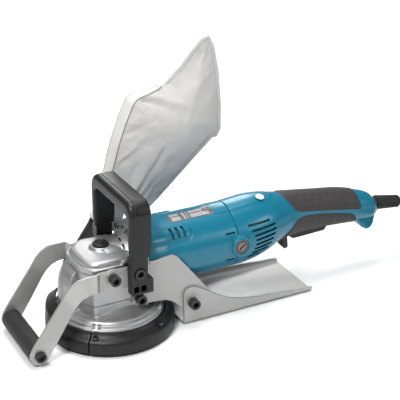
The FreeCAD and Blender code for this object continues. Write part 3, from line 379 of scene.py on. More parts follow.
def ball(name, radius, centre):
    item = add(name, bpy.data.meshes.new(name))
    with editing(item) as work:
        bmesh.ops.create_uvsphere(work, u_segments=32, v_segments=20, radius=radius * MM)
        bmesh.ops.translate(work, verts=work.verts, vec=Vector(centre) * MM)
    return item


def settle(item):
    """Applies the item's modifiers."""
    graph = bpy.context.evaluated_depsgraph_get()
    old = item.data
    mesh = bpy.data.meshes.new_from_object(item.evaluated_get(graph), depsgraph=graph)
    item.modifiers.clear()
    item.data = mesh
    mesh.name = item.name
    if old.users == 0:
        bpy.data.meshes.remove(old)
    return item


def drop(items):
    for item in items:
        mesh = item.data
        bpy.data.objects.remove(item)
        bpy.data.meshes.remove(mesh)


def cut(item, cutters, operation="DIFFERENCE"):
    tool = merge(cutters)
    change = item.modifiers.new("cut", "BOOLEAN")
    change.operation = operation
    change.solver = "EXACT"
    change.use_self = True
    change.object = tool
    settle(item)
    drop([tool])
    return item


def merge(items, name=None):
    """Puts the meshes of several items into the first, and may rename it."""
    first = items[0]
    with editing(first) as work:
        for item in items[1:]:
            work.from_mesh(item.data)
    drop(items[1:])
    first.name = name or first.name
    return first


def recast(name, items, voxel, passes):
    """Melts overlapping closed shapes into one casting with soft inside corners."""
    item = merge(items, name)
    remesh = item.modifiers.new("remesh", "REMESH")
    remesh.mode = "VOXEL"
    remesh.voxel_size = voxel * MM
    smooth = item.modifiers.new("smooth", "SMOOTH")
    smooth.factor, smooth.iterations = 0.5, passes
    return settle(item)


def smooth_shading(item, angle=35.0):
    """Smooth shading with sharp edges kept where faces meet at more than the angle."""
    limit = math.radians(angle)
    with editing(item) as work:
        for face in work.faces:
            face.smooth = True
        for edge in work.edges:
            edge.smooth = len(edge.link_faces) == 2 and edge.calc_face_angle(0.0) < limit


def ease_edges(item, width, segments=2, angle=35.0):
    bevel(item, width, segments, angle)
    return settle(item)


def hand_over(item, crease, body, slot_name, *nodes, look=None):
    """Shades and paints a finished piece, hangs it on its body and hides what it stands for.

    Edges sharper than crease, in degrees, stay sharp. None leaves the shading alone.
    """
    if crease:
        smooth_shading(item, crease)
    paint(item, look or MATERIALS[slot_name])
    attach(item, body)
    if nodes:
        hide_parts(*nodes)
    return item


def ramp_line(value, low, high):
    """0 below low, 1 above high, straight between."""
    return min(1.0, max(0.0, (value - low) / (high - low)))


def ramp(value, low, high):
    """0 below low, 1 above high, eased between."""
    t = ramp_line(value, low, high)
    return t * t * (3 - 2 * t)


def circle_x(x, radius, centre_z=MOTOR_Z):
    """A circle about the motor's axis, from the near side over the top."""
    return [(x, -radius * math.cos(a), centre_z + radius * math.sin(a)) for a in turns(144)]


def turned(name, profile, side):
    """A profile of (radius, distance out) turned about the crosswise axis of the brushes."""
    return loft(name, [[(BRUSH_X + r * math.cos(a), side * out, MOTOR_Z + r * math.sin(a))
                        for a in turns(72)] for r, out in profile])


def stub(name, radius, place, side, near, far, sides=32):
    """A crosswise rod on one side of the tool. place is its x and z."""
    x, z = place
    return rod(name, radius, (x, side * near, z), (x, side * far, z), sides)


# ------------------------------------------------------------------ motor housing and rear handle


def capsule(length, width, steps=8):
    """A slot outline with round ends, centred on the origin."""
    half, r = length / 2 - width / 2, width / 2
    outline = []
    for centre, first in ((half, -90), (-half, 90)):
        for i in range(steps + 1):
            angle = math.radians(first + 180 * i / steps)
            outline.append((centre + r * math.cos(angle), r * math.sin(angle)))
    return outline


def slot_cutter(name, outline, origin, along_u, along_v, outward, depth):
    """A slot outline laid on a surface at origin and pushed both ways along outward."""
    origin, along_u, along_v, outward = (Vector(v) for v in (origin, along_u, along_v, outward))
    rings = [[tuple(origin + along_u * u + along_v * v + outward * w) for u, v in outline]
             for w in (-depth, depth)]
    return loft(name, rings)


def raised_panel(distance):
    """The step round the flat strip that runs along the top of housing and handle."""
    return 0.8 * (1 - ramp(distance, 15.5, 17.5))


def end_rounding(distance):
    """How far a shell's surface falls away near its end, which draws the seam between two."""
    return 0.7 * (1 - ramp(distance, 0.0, 1.1)) ** 2


MM_PER_DEGREE = 0.72


def motor_point(x, degrees, inset=0.0):
    """The motor housing's surface. The angle runs from the near side over the top."""
    radius = MOTOR_RADIUS + 1.9 * (1 - ramp(x, 42.0, 62.0))
    for corner in (47.0, 133.0):    # a tongue swells round the vents on each side
        off = abs((degrees - corner + 180) % 360 - 180) * MM_PER_DEGREE
        reach = math.hypot(max(0.0, x - 86.5), off)
        tongue = 1 - ramp(reach, 6.0, 11.0)
        radius += tongue * (1.5 + 1.7 * max(0.0, 1 - off / 11.0))
    from_top = MM_PER_DEGREE * min(45.0, abs(degrees - 90.0))
    radius += raised_panel(math.hypot(max(0.0, 138.0 - x), from_top))
    for edge in (HOUSING_START, HOUSING_END):
        radius -= end_rounding(abs(x - edge))
    radius -= inset
    angle = math.radians(degrees)
    y, z = -radius * math.cos(angle), MOTOR_Z + radius * math.sin(angle)
    # the side plates' rear edge slopes, and the housing is flattened between the plates
    plate_end = 114.0 + (71.5 - 114.0) * ramp_line(z, 37.5, 92.6)
    free = ramp(x, plate_end + 1.5, plate_end + 5.0) if z < 96.0 else 1.0
    width = abs(y)
    if width > PLATE_FACE:
        width = PLATE_FACE + (width - PLATE_FACE) * free
    return (x, math.copysign(width, y), z)


ROUND = [2.5 * i for i in range(144)]


def build_motor_housing():
    stations = [HOUSING_START, 34.3, 34.7, 35.2] + [36.0 + 1.5 * i for i in range(78)]
    stations += [152.6, 153.1, 153.5, HOUSING_END]
    outer = [[motor_point(x, a) for a in ROUND] for x in stations]
    inner = [circle_x(x, 38.0) for x in reversed(stations[::6] + [HOUSING_END])]
    housing = loft("motor_housing_shell", outer + inner, True)
    cutters = []
    for side in (-1, 1):
        for i, x in enumerate((69.4, 77.2, 85.0)):
            angle = math.radians(47.2)
            outward = Vector((0.0, side * math.cos(angle), math.sin(angle)))
            around = Vector((-0.06, -side * math.sin(angle), math.cos(angle))).normalized()
            origin = Vector((x, 0, MOTOR_Z)) + outward * 43.0
            cutters.append(slot_cutter("vent_%d" % i, capsule(15.6, 3.7), origin, around,
                                       around.cross(outward), outward, 9.0))
        for height in (104.6, 69.9):
            cutters.append(slot_cutter("slit", capsule(13.0, 2.3), (144.6, side * 40.0, height),
                                       (1, 0, 0), (0, 0, 1), (0, 1, 0), 9.0))
        cutters.append(stub("boss_room", 13.0, (BRUSH_X, MOTOR_Z), side, 30.0, 50.0, 64))
    cut(housing, cutters)
    hand_over(housing, 28.0, "tool", "teal_plastic", "motor_housing")

    # A black sheet inside the housing: painted shade behind the vent slots, where the inside looks
    # dark.
    painted_shade = lathe("motor_painted_shade", [(37.0, 60.0), (37.8, 60.0), (37.8, 153.0), (37.0, 153.0)],
                  centre=(0.0, MOTOR_Z), axis="X", steps=72)
    hand_over(painted_shade, 35.0, "tool", "black_plastic")


def skin_ring(x, span, top, under):
    """A thin strip on the motor housing at one station, between two depths."""
    return ([motor_point(x, a, top) for a in span]
            + [motor_point(x, a, under) for a in reversed(span)])


def build_rating_plate():
    """A blank label with plain panels where a real one is printed."""
    rings = []
    for x in [76.0 + 2.0 * i for i in range(30)]:
        skew = (x - 105.0) * 0.004
        rings.append(skin_ring(x, [93.0 - skew - 2.2 * j for j in range(12)], -0.12, 0.25))
    plate = loft("rating_plate", rings)
    hand_over(plate, 40.0, "tool", "teal_plastic", look=LABEL)
    bars = []
    for start, width in ((79.0, 12.0), (95.0, 3.0), (100.0, 1.6), (104.0, 24.0)):
        rows = ((90.5, 71.0),) if width < 5 else ((90.5, 83.5), (81.0, 71.0))
        for high, low in rows:
            rings = []
            for i in range(5):
                x = start + width * i / 4
                span = [high + (low - high) * j / 5 for j in range(6)]
                rings.append(skin_ring(x, span, -0.20, 0.05))
            bars.append(loft("bar", rings))
    hand_over(merge(bars, "rating_plate_panels"), None, "tool", "teal_plastic", look=PANEL)


CORD_DROOP = Vector((0.988, 0, -0.156))     # the way the cord leaves the handle
HANDLE_STATIONS = (
    # station, centre height, half height, half width
    (HANDLE_START, MOTOR_Z, MOTOR_RADIUS, MOTOR_RADIUS),
    (170.0, 87.5, 41.2, 40.8), (188.0, 89.5, 40.5, 39.5), (208.0, 92.0, 36.8, 36.0),
    (230.0, 94.8, 30.8, 28.5), (252.0, 95.0, 28.0, 22.0), (285.0, 92.6, 25.6, 19.0),
    (320.0, 89.0, 23.6, 18.8), (350.0, 83.8, 20.6, 19.0), (368.0, 79.6, 17.6, 18.0),
    (376.5, 77.0, 12.0, 13.0),
)


def spline_at(rows, x):
    """Smooth interpolation through rows of (x, value, value, ...)."""
    last = len(rows) - 2
    i = max(0, min(last, sum(1 for row in rows[1:-1] if row[0] <= x)))
    a, b = rows[i], rows[i + 1]
    before, after = rows[max(0, i - 1)], rows[min(last + 1, i + 2)]
    width = b[0] - a[0]
    t = (x - a[0]) / width
    values = []
    for k in range(1, len(a)):
        slope_a = (b[k] - before[k]) / (b[0] - before[0])
        slope_b = (after[k] - a[k]) / (after[0] - a[0])
        values.append((2 * t ** 3 - 3 * t ** 2 + 1) * a[k]
                      + (t ** 3 - 2 * t ** 2 + t) * width * slope_a
                      + (3 * t ** 2 - 2 * t ** 3) * b[k] + (t ** 3 - t ** 2) * width * slope_b)
    return values


def handle_point(x, degrees, lift=0.0):
    """The rear handle's surface, raised by lift."""
    centre, half_height, half_width = spline_at(HANDLE_STATIONS, x)
    angle = math.radians(degrees)
    c, s = math.cos(angle), math.sin(angle)
    if s > 0:
        lift += raised_panel(math.hypot(max(0.0, x - 203.0), half_width * c)) * ramp(s, 0.2, 0.5)
    lift -= end_rounding(x - HANDLE_START)
    return (x, -(half_width + lift) * c, centre + (half_height + lift) * s)


def build_rear_handle():
    stations = [HANDLE_START, 154.7, 155.1, 155.6, 156.4]
    stations += [158.0 + 1.75 * i for i in range(122)]
    stations += [372.5, 373.8, 374.8, 375.6, 376.2, 376.5]
    body = loft("handle_shell", [[handle_point(x, a) for a in ROUND] for x in stations])
    hook = prism("hook", filleted([(345, 78), (376, 82), (376.5, 66), (374, 52.5), (366, 47),
                                   (358, 51.5), (350, 62)], 5.0), -10.0, 10.0, "XZ")
    ease_edges(hook, 3.0, 4)
    joined = [hook]
    profile = [(0.3, 30.0), (15.5, 30.0), (14.2, 40.2), (12.9, 41.2), (12.7, 43.0),
               (12.2, 43.6), (11.4, 43.8), (0.3, 43.8)]
    for side in (-1, 1):
        joined.append(turned("cap_boss", profile, side))
    for part in joined:
        cut(body, [part], "UNION")
    inner = loft("hollow", [circle_x(150.0, 38.2)[::2]]
                 + [[handle_point(x, a, -2.6) for a in ROUND[::2]] for x in stations[8:-6:3]])
    cutters = []
    slits = (
        # both ends of each slit's middle line, as x and z
        ((169.0, 108.2), (201.5, 109.0)), ((173.5, 101.3), (209.0, 102.7)),
        ((177.0, 95.0), (210.5, 96.9)), ((178.6, 88.9), (209.0, 90.7)),
        ((178.6, 82.9), (206.6, 84.5)), ((177.4, 77.0), (204.4, 78.5)),
        ((174.6, 71.8), (199.4, 73.1)), ((169.2, 67.0), (187.0, 67.6)),
    )
    for side in (-1, 1):
        for (x0, z0), (x1, z1) in slits:
            along = Vector((x1 - x0, 0, z1 - z0))
            middle = ((x0 + x1) / 2, side * 36.0, (z0 + z1) / 2)
            unit = along.normalized()
            cutters.append(slot_cutter("slit", capsule(along.length, 3.0), middle, unit,
                                       (-unit.z, 0, unit.x), (0, 1, 0), 11.0))
        cutters.append(stub("bore", 9.6, (BRUSH_X, MOTOR_Z), side, 30.0, 60.0, 64))
    room = prism("room", filleted([(233.5, 40.0), (304.0, 40.0), (304.0, 78.0), (233.5, 78.0)],
                                  2.0), -10.0, 10.0, "XZ")
    start = Vector((356.0, 0, 83.69))
    hole = rod("hole", 9.8, start, start + CORD_DROOP * 40, 48)
    cut(body, [inner])
    cut(body, cutters + [room, hole])
    for name, low, high, node in (("handle_half_near", -60.0, -0.12, "handle_half_left"),
                                  ("handle_half_far", 0.12, 60.0, "handle_half_right")):
        half = add(name, body.data.copy())
        cut(half, [brick("keep", (140, low, 20), (400, high, 160))], "INTERSECT")
        hand_over(half, 30.0, "tool", "teal_plastic", node)
    drop([body])
    # A black sheet inside the handle: painted shade behind the slits, where the inside looks dark.
    painted_shade = loft("handle_painted_shade", [[handle_point(x, a, -3.0) for a in ROUND]
                                  for x in (163.0, 175.0, 190.0, 205.0, 218.0, 229.0)])
    hand_over(painted_shade, 35.0, "tool", "black_plastic")


def build_badge():
    """A blank disc where the real tool has its round badge."""
    badge = lathe("round_badge", [(0.01, 0.0), (5.3, 0.0), (5.5, 0.25), (5.3, 0.5), (0.01, 0.5)])
    badge.data.transform(Matrix.Translation(Vector((199.5, -10.5, 130.9)) * MM)
                         @ Matrix.Rotation(math.radians(16.5), 4, "X")
                         @ Matrix.Rotation(math.radians(5.0), 4, "Y"))
    hand_over(badge, 40.0, "tool", "teal_plastic", look=PALE)


def signed_distance(point, outline):
    """Distance from a 2-D point to a closed outline, positive inside."""
    x, z = point
    nearest, inside = 1e9, False
    for i, (ax, az) in enumerate(outline):
        bx, bz = outline[(i + 1) % len(outline)]
        dx, dz = bx - ax, bz - az
        t = max(0.0, min(1.0, ((x - ax) * dx + (z - az) * dz) / (dx * dx + dz * dz or 1.0)))
        nearest = min(nearest, math.hypot(x - ax - t * dx, z - az - t * dz))
        if (az > z) != (bz > z) and x < ax + (z - az) * dx / dz:
            inside = not inside
    return nearest if inside else -nearest


PAD_STEP = 0.8      # the pads' mesh is this fine lengthwise
DIMPLE_DEPTH = 0.8


def grip_pad(name, node, outline, dimples, first, last, rooms=()):
    """A rubber pad laid on the handle, with rounded edges and a pattern of dimples."""
    stations = [first + PAD_STEP * i for i in range(int((last - first) / PAD_STEP) + 1)]
    turn = [1.6 * i for i in range(225)]
    points, index, faces = [], {}, []
    distances = {}
    for i, x in enumerate(stations):
        for j, a in enumerate(turn):
            z = handle_point(x, a)[2]
            depth = distances[i, j] = signed_distance((x, z), outline)
            if depth < -2.2:
                continue
            height = -0.5 + 1.45 * ramp(depth, -1.1, 1.0)
            for dx, dz in dimples:
                if abs(dx - x) < 3 and abs(dz - z) < 3:
                    away = math.hypot(dx - x, dz - z)
                    height -= DIMPLE_DEPTH * (1 - ramp(away, 0.9, 2.1))
            index[i, j] = len(points)
            points.append(handle_point(x, a, height))
    for i in range(len(stations) - 1):
        for j in range(len(turn)):
            k = (j + 1) % len(turn)
            corners = [(i, j), (i + 1, j), (i + 1, k), (i, k)]
            if all(c in index and distances[c] > -1.6 for c in corners):
                faces.append([index[c] for c in corners])
    pad = place_mesh(name, points, faces)
    with editing(pad) as work:
        loose = [v for v in work.verts if not v.link_faces]
        bmesh.ops.delete(work, geom=loose, context="VERTS")
    thick = pad.modifiers.new("thick", "SOLIDIFY")
    thick.thickness, thick.offset = 0.9 * MM, -1.0
    settle(pad)
    if rooms:
        cut(pad, [brick("room", low, high) for low, high in rooms])
    return hand_over(pad, 50.0, "tool", "grip_rubber", node)


def build_grip_pads():
    upper = filleted([(218.0, 146.0), (225.5, 133.5), (248.0, 104.2), (280.0, 97.6), (347.0, 85.6),
                      (342.5, 113.0), (338.0, 140.0)], [2, 2, 7, 10, 3, 8, 2])
    upper_dots = [(256.2 + 11.1 * i, 118.0 - 1.35 * i - 0.09 * i * i) for i in range(8)]
    upper_dots += [(262.9 + 10.95 * i, 105.9 - 1.1 * i - 0.12 * i * i) for i in range(8)]
    grip_pad("upper_pad", "upper_grip_pad", upper, upper_dots, 215.0, 350.0)
    lower = filleted([(224.0, 50.0), (224.0, 68.0), (240.0, 81.5), (247.5, 92.0), (258.0, 94.5),
                      (284.0, 91.4), (316.0, 85.0), (335.0, 80.0), (346.0, 64.0), (346.0, 50.0)],
                     [1, 3, 8, 6, 8, 10, 10, 6, 3, 1])
    lower_dots = [(261.0 + 10.4 * i, 90.2 - 1.45 * i) for i in range(7)]
    grip_pad("lower_pad", "lower_grip_pad", lower, lower_dots, 222.0, 348.0,
             (((232.8, -10.4, 40.0), (304.4, 10.4, 82.0)),))


def build_controls():
    trigger = prism("trigger_paddle", filleted(
        [(247.5, 75.5), (301.5, 75.5), (301.5, 66.5), (298.5, 61.8), (278, 61.2), (252, 60.4),
         (247.5, 63.0)], [1, 1, 3, 3, 4, 4, 3]), -8.6, 8.6, "XZ")
    ease_edges(trigger, 1.4, 4, 50.0)
    ribs = [rod("rib", 0.45, (x, -6.4, 60.8), (x, 6.4, 60.8), 10)
            for x in (262.0, 266.0, 270.0, 274.0, 278.0, 282.0, 286.0, 290.0)]
    cut(trigger, ribs)
    hand_over(trigger, 40.0, "trigger", "black_plastic", "trigger")
    lever = prism("lock_off_paddle", filleted(
        [(239.5, 72.0), (245.0, 72.0), (245.4, 60.0), (246.5, 48.5), (242.0, 46.2), (235.5, 53.0),
         (238.5, 60.0)], [1, 1, 3, 1.8, 1.8, 3, 3]), -5.0, 5.0, "XZ")
    ease_edges(lever, 1.0, 3, 50.0)
    hand_over(lever, 40.0, "lock_off_lever", "black_plastic", "lock_off_lever")


def build_brush_caps():
    """A near and a far cap. One CAD node holds both, so only the near one replaces it."""
    for side, name in ((-1, "brush_cap_near"), (1, "brush_cap_far")):
        profile = [(0.2, 38.8), (5.7, 38.8), (5.7, 40.3), (9.1, 40.3), (9.1, 43.0), (8.7, 43.6),
                   (8.0, 43.7), (7.6, 43.4), (7.5, 41.7), (6.5, 41.7), (6.4, 43.3), (6.0, 43.75),
                   (0.2, 43.8)]
        cap = turned(name, profile, side)
        unit = Vector((0.78, 0, 0.62)).normalized()
        cut(cap, [slot_cutter("slot", capsule(9.6, 2.0), (BRUSH_X, side * 44.0, MOTOR_Z), unit,
                              (-unit.z, 0, unit.x), (0, 1, 0), 2.4)])
        hand_over(cap, 30.0, "tool", "brush_cap", *(("brush_caps",) if side < 0 else ()))

# ------------------------------------------------------------------ castings and front handle

VOXEL = 0.75        # how fine the castings are
GEARBOX_PLAN = [(-33.5, -37.3), (33.4, -37.3), (33.4, 37.3), (-30.0, 37.3), (-44.0, 21.0),
                (-44.0, -21.0)]
GEARBOX_CORNERS = [3.5, 0.4, 0.4, 5.0, 6.0, 6.0]


PLATE_MIDDLE = (0.055, 0.062)       # a side plate's middle in x and z, in metres
PLATE_ROOM = 1.012


def flats():
    """The room that the side plates need beside both housings, a little larger than they are."""
    rooms = []
    for name in ("left_side_plate", "right_side_plate"):
        room = add("flat", NODES[name].data.copy())
        with editing(room) as work:
            bmesh.ops.remove_doubles(work, verts=work.verts, dist=1e-6)
            for vertex in work.verts:
                side = 1 if vertex.co.y > 0 else -1
                vertex.co.y = side * (38.95 if abs(vertex.co.y) < 40.4 * MM else 60.0) * MM
                vertex.co.x = PLATE_MIDDLE[0] + (vertex.co.x - PLATE_MIDDLE[0]) * PLATE_ROOM
                vertex.co.z = PLATE_MIDDLE[1] + (vertex.co.z - PLATE_MIDDLE[1]) * PLATE_ROOM
        rooms.append(room)
    return rooms


def build_gear_housing():
    body = prism("body", filleted(GEARBOX_PLAN, GEARBOX_CORNERS), 50.0, 94.0)
    lid_plan = [(x + (0.9 if x > 0 else -0.7), y * 1.02) for x, y in GEARBOX_PLAN]
    lid = prism("lid", filleted(lid_plan, GEARBOX_CORNERS), 91.5, 97.8)
    ease_edges(lid, 1.8, 4)
    crown_rings = []
    for height, share in ((90.0, 0.95), (98.0, 0.95), (101.8, 0.94), (103.6, 0.90), (104.6, 0.82),
                          (105.8, 0.62), (106.8, 0.40), (107.4, 0.10)):
        plan = filleted([(x * share, y * share) for x, y in GEARBOX_PLAN], 9.0 * share, 6)
        crown_rings.append([(x, y, height) for x, y in plan])
    crown = loft("crown", crown_rings)
    boss = lathe("boss", [(0.2, 100.0), (13.6, 100.0), (13.3, 105.0), (12.8, 108.0),
                          (11.9, 109.6), (10.8, 110.0), (0.2, 110.0)], centre=(BUTTON_X, 0.0))
    saddle = prism("saddle", filleted([(-24.0, 90.0), (24.0, 90.0), (22.0, 104.5), (12.0, 109.6),
                                       (-12.0, 109.6), (-22.0, 104.5)], 4.0), -8.0, 30.0, "YZ")
    flare = lathe("flare", [(9.0, -14.0), (21.5, -14.0), (23.0, -2.0), (24.6, 5.0), (27.4, 12.0),
                            (31.6, 18.0), (36.8, 22.5), (41.4, 25.0), (43.2, 26.4), (43.3, 33.8),
                            (9.0, 33.8)], centre=(0.0, MOTOR_Z), axis="X", steps=120)
    parts = [body, lid, crown, boss, saddle, flare]
    for side in (-1, 1):
        parts.append(stub("arm_seat", 9.4, ARM_SCREW, side, 34.0, 40.4))
        parts.append(stub("screw_seat", 10.0, LOW_SCREW, side, 30.0, 41.6))
        parts.append(stub("small_seat", 4.2, LID_SCREW, side, 32.0, 38.4))
    case = recast("gear_case", parts, VOXEL, 4)
    windows = []
    for i in range(15):
        rows = [(31.4, 4.4, 38.2, 5.8), (22.6, 2.8, 28.8, 4.0)]
        window = merge([prism("window", filleted([(low, -half_low), (high, -half_high),
                                                  (high, half_high), (low, half_low)], 1.6),
                              12.0, 40.0) for low, half_low, high, half_high in rows])
        facing_rear = Matrix(((0, 0, 1, 0), (0, -1, 0, 0), (1, 0, 0, 0), (0, 0, 0, 1)))
        window.data.transform(Matrix.Translation((0, 0, MOTOR_Z * MM))
                              @ Matrix.Rotation(math.radians(24.0 * i + 12.0), 4, "X")
                              @ facing_rear)
        windows.append(window)
    cut(case, [brick("below", (-100, -100, 0), (100, 100, 50.0))] + flats())
    cut(case, windows + [
        rod("cavity", 31.5, (0, 0, 40.0), (0, 0, 95.5), 72),
        rod("tunnel", 13.1, (10.0, 0, MOTOR_Z), (60.0, 0, MOTOR_Z), 48),
        rod("seat", 10.05, (0, 0, 90.0), (0, 0, 105.0), 48),
        rod("recess", 10.2, (BUTTON_X, 0, 106.6), (BUTTON_X, 0, 120.0), 64),
        rod("stem", 3.7, (BUTTON_STEM_X, 0, 104.1), (BUTTON_STEM_X, 0, 120.0), 24),
    ])
    bulge_room = lathe("room", [(45.7, 29.0), (62.0, 29.0), (62.0, 92.0), (45.7, 92.0)],
                       87.0, 108.0)
    cut(case, [bulge_room])
    hand_over(case, 40.0, "tool", "cast_aluminium", "gear_housing")

    # A black disc behind the flare's windows: painted shade, so the windows read dark.
    painted_shade_disc = lathe("window_painted_shade_disc", [(13.2, 33.85), (38.0, 33.85), (38.0, 34.2), (13.2, 34.2)],
                   centre=(0.0, MOTOR_Z), axis="X", steps=72)
    hand_over(painted_shade_disc, None, "tool", "black_plastic")


def build_lid_screws():
    heads = []
    for side in (-1, 1):
        head = stub("head", 2.9, LID_SCREW, side, 38.3, 40.3, 24)
        cut(head, [stub("socket", 1.5, LID_SCREW, side, 39.2, 42.0, 6)])
        heads.append(head)
    hand_over(merge(heads, "lid_screws"), 35.0, "tool", "black_screw")


def build_wheel_housing():
    ring = lathe("ring", [
        (17.6, 36.0), (17.6, 44.0), (33.4, 44.0), (37.0, 42.6), (41.0, 40.6), (46.0, 38.2),
        (51.0, 36.5), (55.5, 35.4), (57.2, 34.6), (58.2, 33.0), (60.2, 32.8), (61.2, 32.0),
        (61.5, 29.4), (62.6, 28.9), (64.2, 28.7), (65.0, 27.9), (65.0, 24.0), (60.5, 24.0),
        (58.5, 28.0), (50.0, 31.0), (38.0, 34.5), (19.0, 34.5), (19.0, 36.0)], steps=180)
    front = lathe("front_bulge", [(44.0, 34.0), (61.0, 29.5), (61.0, 56.0), (60.3, 64.0),
                                  (58.6, 71.5), (55.6, 78.5), (51.5, 84.0), (47.0, 86.6),
                                  (44.0, 87.0)], 132.0, 62.0)
    side_bulge = lathe("side_bulge", [(44.0, 34.0), (61.0, 29.5), (61.0, 50.0), (59.6, 56.0),
                                      (56.0, 61.5), (51.0, 65.0), (44.0, 66.0)], 88.0, 50.0)
    deck = prism("deck", filleted(GEARBOX_PLAN, GEARBOX_CORNERS), 36.6, 53.0)
    parts = [ring, front, side_bulge, deck]
    for angle in (60.0, 180.0, 232.0, 320.0):
        lug = [brick("lug", (58.5, shift - 0.9, 27.5), (63.6, shift + 0.9, 33.6))
               for shift in (-3.3, 3.3)]
        for part in lug + [brick("shelf", (58.5, -4.0, 27.5), (62.8, 4.0, 30.5))]:
            part.data.transform(Matrix.Rotation(math.radians(angle), 4, "Z"))
            parts.append(part)
    for side in (-1, 1):
        parts.append(stub("screw_seat", 10.0, LOW_SCREW, side, 30.0, 41.6))
    casting = recast("wheel_case", parts, VOXEL, 2)
    cut(casting, [brick("above", (-44.9, -60, 49.97), (60, 60, 70.0))] + flats() + [
        rod("bore", 17.6, (0, 0, 20.0), (0, 0, 60.0), 72),
        rod("hollow", 44.0, (0, 0, 49.9), (0, 0, 100.0), 72)])
    hand_over(casting, 40.0, "tool", "cast_aluminium", "wheel_housing")


def grip_ring(outer, inner, low, high):
    """One cross-section of the handle, between an outer and an inner point of its path."""
    thick = math.dist(outer, inner)
    rounded_outline = filleted([(low, 0.0), (low, thick), (high, thick), (high, 0.0)],
                               [4.5, 6.5, 5.0, 3.5], 6)
    ring = []
    for x, depth in rounded_outline:
        t = depth / thick
        crown = 0.6 * (1 - ((x - (low + high) / 2) / ((high - low) / 2)) ** 2)
        grow = 1.0 + (0.03 * crown if t > 0.9 else 0.0)
        y = inner[0] + (outer[0] - inner[0]) * t * grow
        z = inner[1] + (outer[1] - inner[1]) * t * grow
        ring.append((x, y, z))
    return ring


def build_front_grip():
    path = []       # pairs of an outer and an inner point, each as y and z
    for z in (111.0, 113.0, 118.0, 124.0, 130.0, 136.0, 142.0, 147.0, 150.0):
        path.append(((-56.6, z), (-47.0, z)))
    for i in range(11):
        angle = math.radians(180 - 9 * i)
        path.append(((-41.6 + 15 * math.cos(angle), 163.6 + 15 * math.sin(angle)),
                     (-36.0 + 11 * math.cos(angle), 151.0 + 11 * math.sin(angle))))
    half = path[1:]
    path = path + [((0.0, 178.6), (0.0, 162.0))]
    path += [((-oy, oz), (-iy, iz)) for (oy, oz), (iy, iz) in reversed(half)]
    path.append(((56.6, 111.0), (47.0, 111.0)))
    rings = []
    for outer, inner in path:
        lean = ramp(outer[1], 111.0, 122.0)
        rings.append(grip_ring(outer, inner, 4.4 + 0.6 * (1 - lean), 31.8 - 1.2 * (1 - lean)))
    grip = loft("loop_handle", rings)
    groove = []
    for (oy, oz), (iy, iz) in path:
        t = 1.0 + 0.25 / math.hypot(oy - iy, oz - iz)
        groove.append((13.2, iy + (oy - iy) * t, iz + (oz - iz) * t))
    cutters = [loft("groove", [[(x + 0.45 * math.cos(a), y * (1 + 0.008 * math.sin(a)),
                                 z + 0.45 * math.sin(a)) for a in turns(8)]
                               for x, y, z in groove if z > 150.0])]
    seam = [(3.0, 158.0), (5.0, 161.6), (8.0, 164.6), (12.0, 165.8), (20.7, 165.3), (33.0, 164.2)]
    for side in (-1, 1):
        cutters.append(loft("seam", [
            [(x, side * (56.4 - max(0.0, z - 163.6) * 0.1 + 0.8 * math.cos(a)),
              z + 0.45 * math.sin(a)) for a in turns(8)] for x, z in seam]))
    cut(grip, cutters)
    hand_over(grip, 32.0, "tool", "black_plastic", "front_grip")


def build_arm_embossing():
    """A full ring and an arc round each arm's screw."""
    x, z = ARM_SCREW
    rings = []
    for side in (-1, 1):
        for radius, first, last in ((9.6, 0, 60), (12.2, 5, 26)):
            profile = [(radius - 0.5, 0.0), (radius + 0.5, 0.0), (radius + 0.25, 0.35),
                       (radius - 0.25, 0.35)]
            loops = [[(x + r * math.cos(a), side * (44.15 + h), z + r * math.sin(a))
                      for r, h in profile] for a in turns(60)[first:last]]
            rings.append(loft("ring", loops, last - first == 60))
    hand_over(merge(rings, "arm_embossing"), 35.0, "roller_frame", "steel_sheet")


def build_lock_button():
    button = lathe("lock_button", [(0.2, 109.8), (9.0, 109.8), (9.55, 110.3), (9.6, 111.6),
                                   (9.2, 112.4), (8.4, 112.8), (7.4, 112.75), (7.0, 112.3),
                                   (6.4, 112.2), (0.2, 112.35)],
                   centre=(BUTTON_X, 0.0))
    dimple = ball("dimple", 5.0, (BUTTON_X, 0.0, 116.2))
    stem = rod("stem", 2.2, (BUTTON_STEM_X, 0, 100.5), (BUTTON_STEM_X, 0, 110.4), 24)
    cut(button, [dimple])
    cut(button, [stem], "UNION")
    hand_over(button, 40.0, "shaft_lock", "black_plastic", "shaft_lock_button")


# ------------------------------------------------------------------ brushes, dust line and bag


BOX_FACES = ((0, 1, 5, 4), (1, 2, 6, 5), (2, 3, 7, 6), (3, 0, 4, 7), (0, 3, 2, 1), (4, 5, 6, 7))


def build_brushes():
    """Bristles as thin tapered bars, packed in a ring under the cover."""
    draw = random.Random(7)
    for name, node, body, start, stop in (("rear_bristles", "rear_brush", "tool", 228.6, 487.4),
                                          ("front_bristles", "front_brush", "front_cover",
                                           128.6, 227.4)):
        points, faces = [], []
        holder = lathe("holder", [(73.7, 6.9), (75.4, 6.9), (75.4, 8.9), (73.7, 8.9)],
                       start, stop - start)
        count = int((stop - start) * 4.2)
        for i in range(count):
            angle = math.radians(start + (stop - start) * (i + 0.5) / count)
            radius = 74.1 + draw.random() * 0.9
            lean_out, lean_round = draw.uniform(-0.35, 0.35), draw.uniform(-0.006, 0.006)
            tip = draw.uniform(0.0, 0.5)
            first = len(points)
            for height, width, share in ((7.2, 0.42, 0.0), (tip, 0.30, 1.0)):
                r = radius + lean_out * share
                a = angle + lean_round * share
                for dr, da in ((-width, -1), (width, -1), (width, 1), (-width, 1)):
                    points.append(((r + dr) * math.cos(a + da * width / 75.0),
                                   (r + dr) * math.sin(a + da * width / 75.0), height))
            faces += [tuple(first + k for k in corners) for corners in BOX_FACES]
        bristles = place_mesh(name, points, faces)
        merge([bristles, holder])
        hand_over(bristles, None, body, "bristle", node)


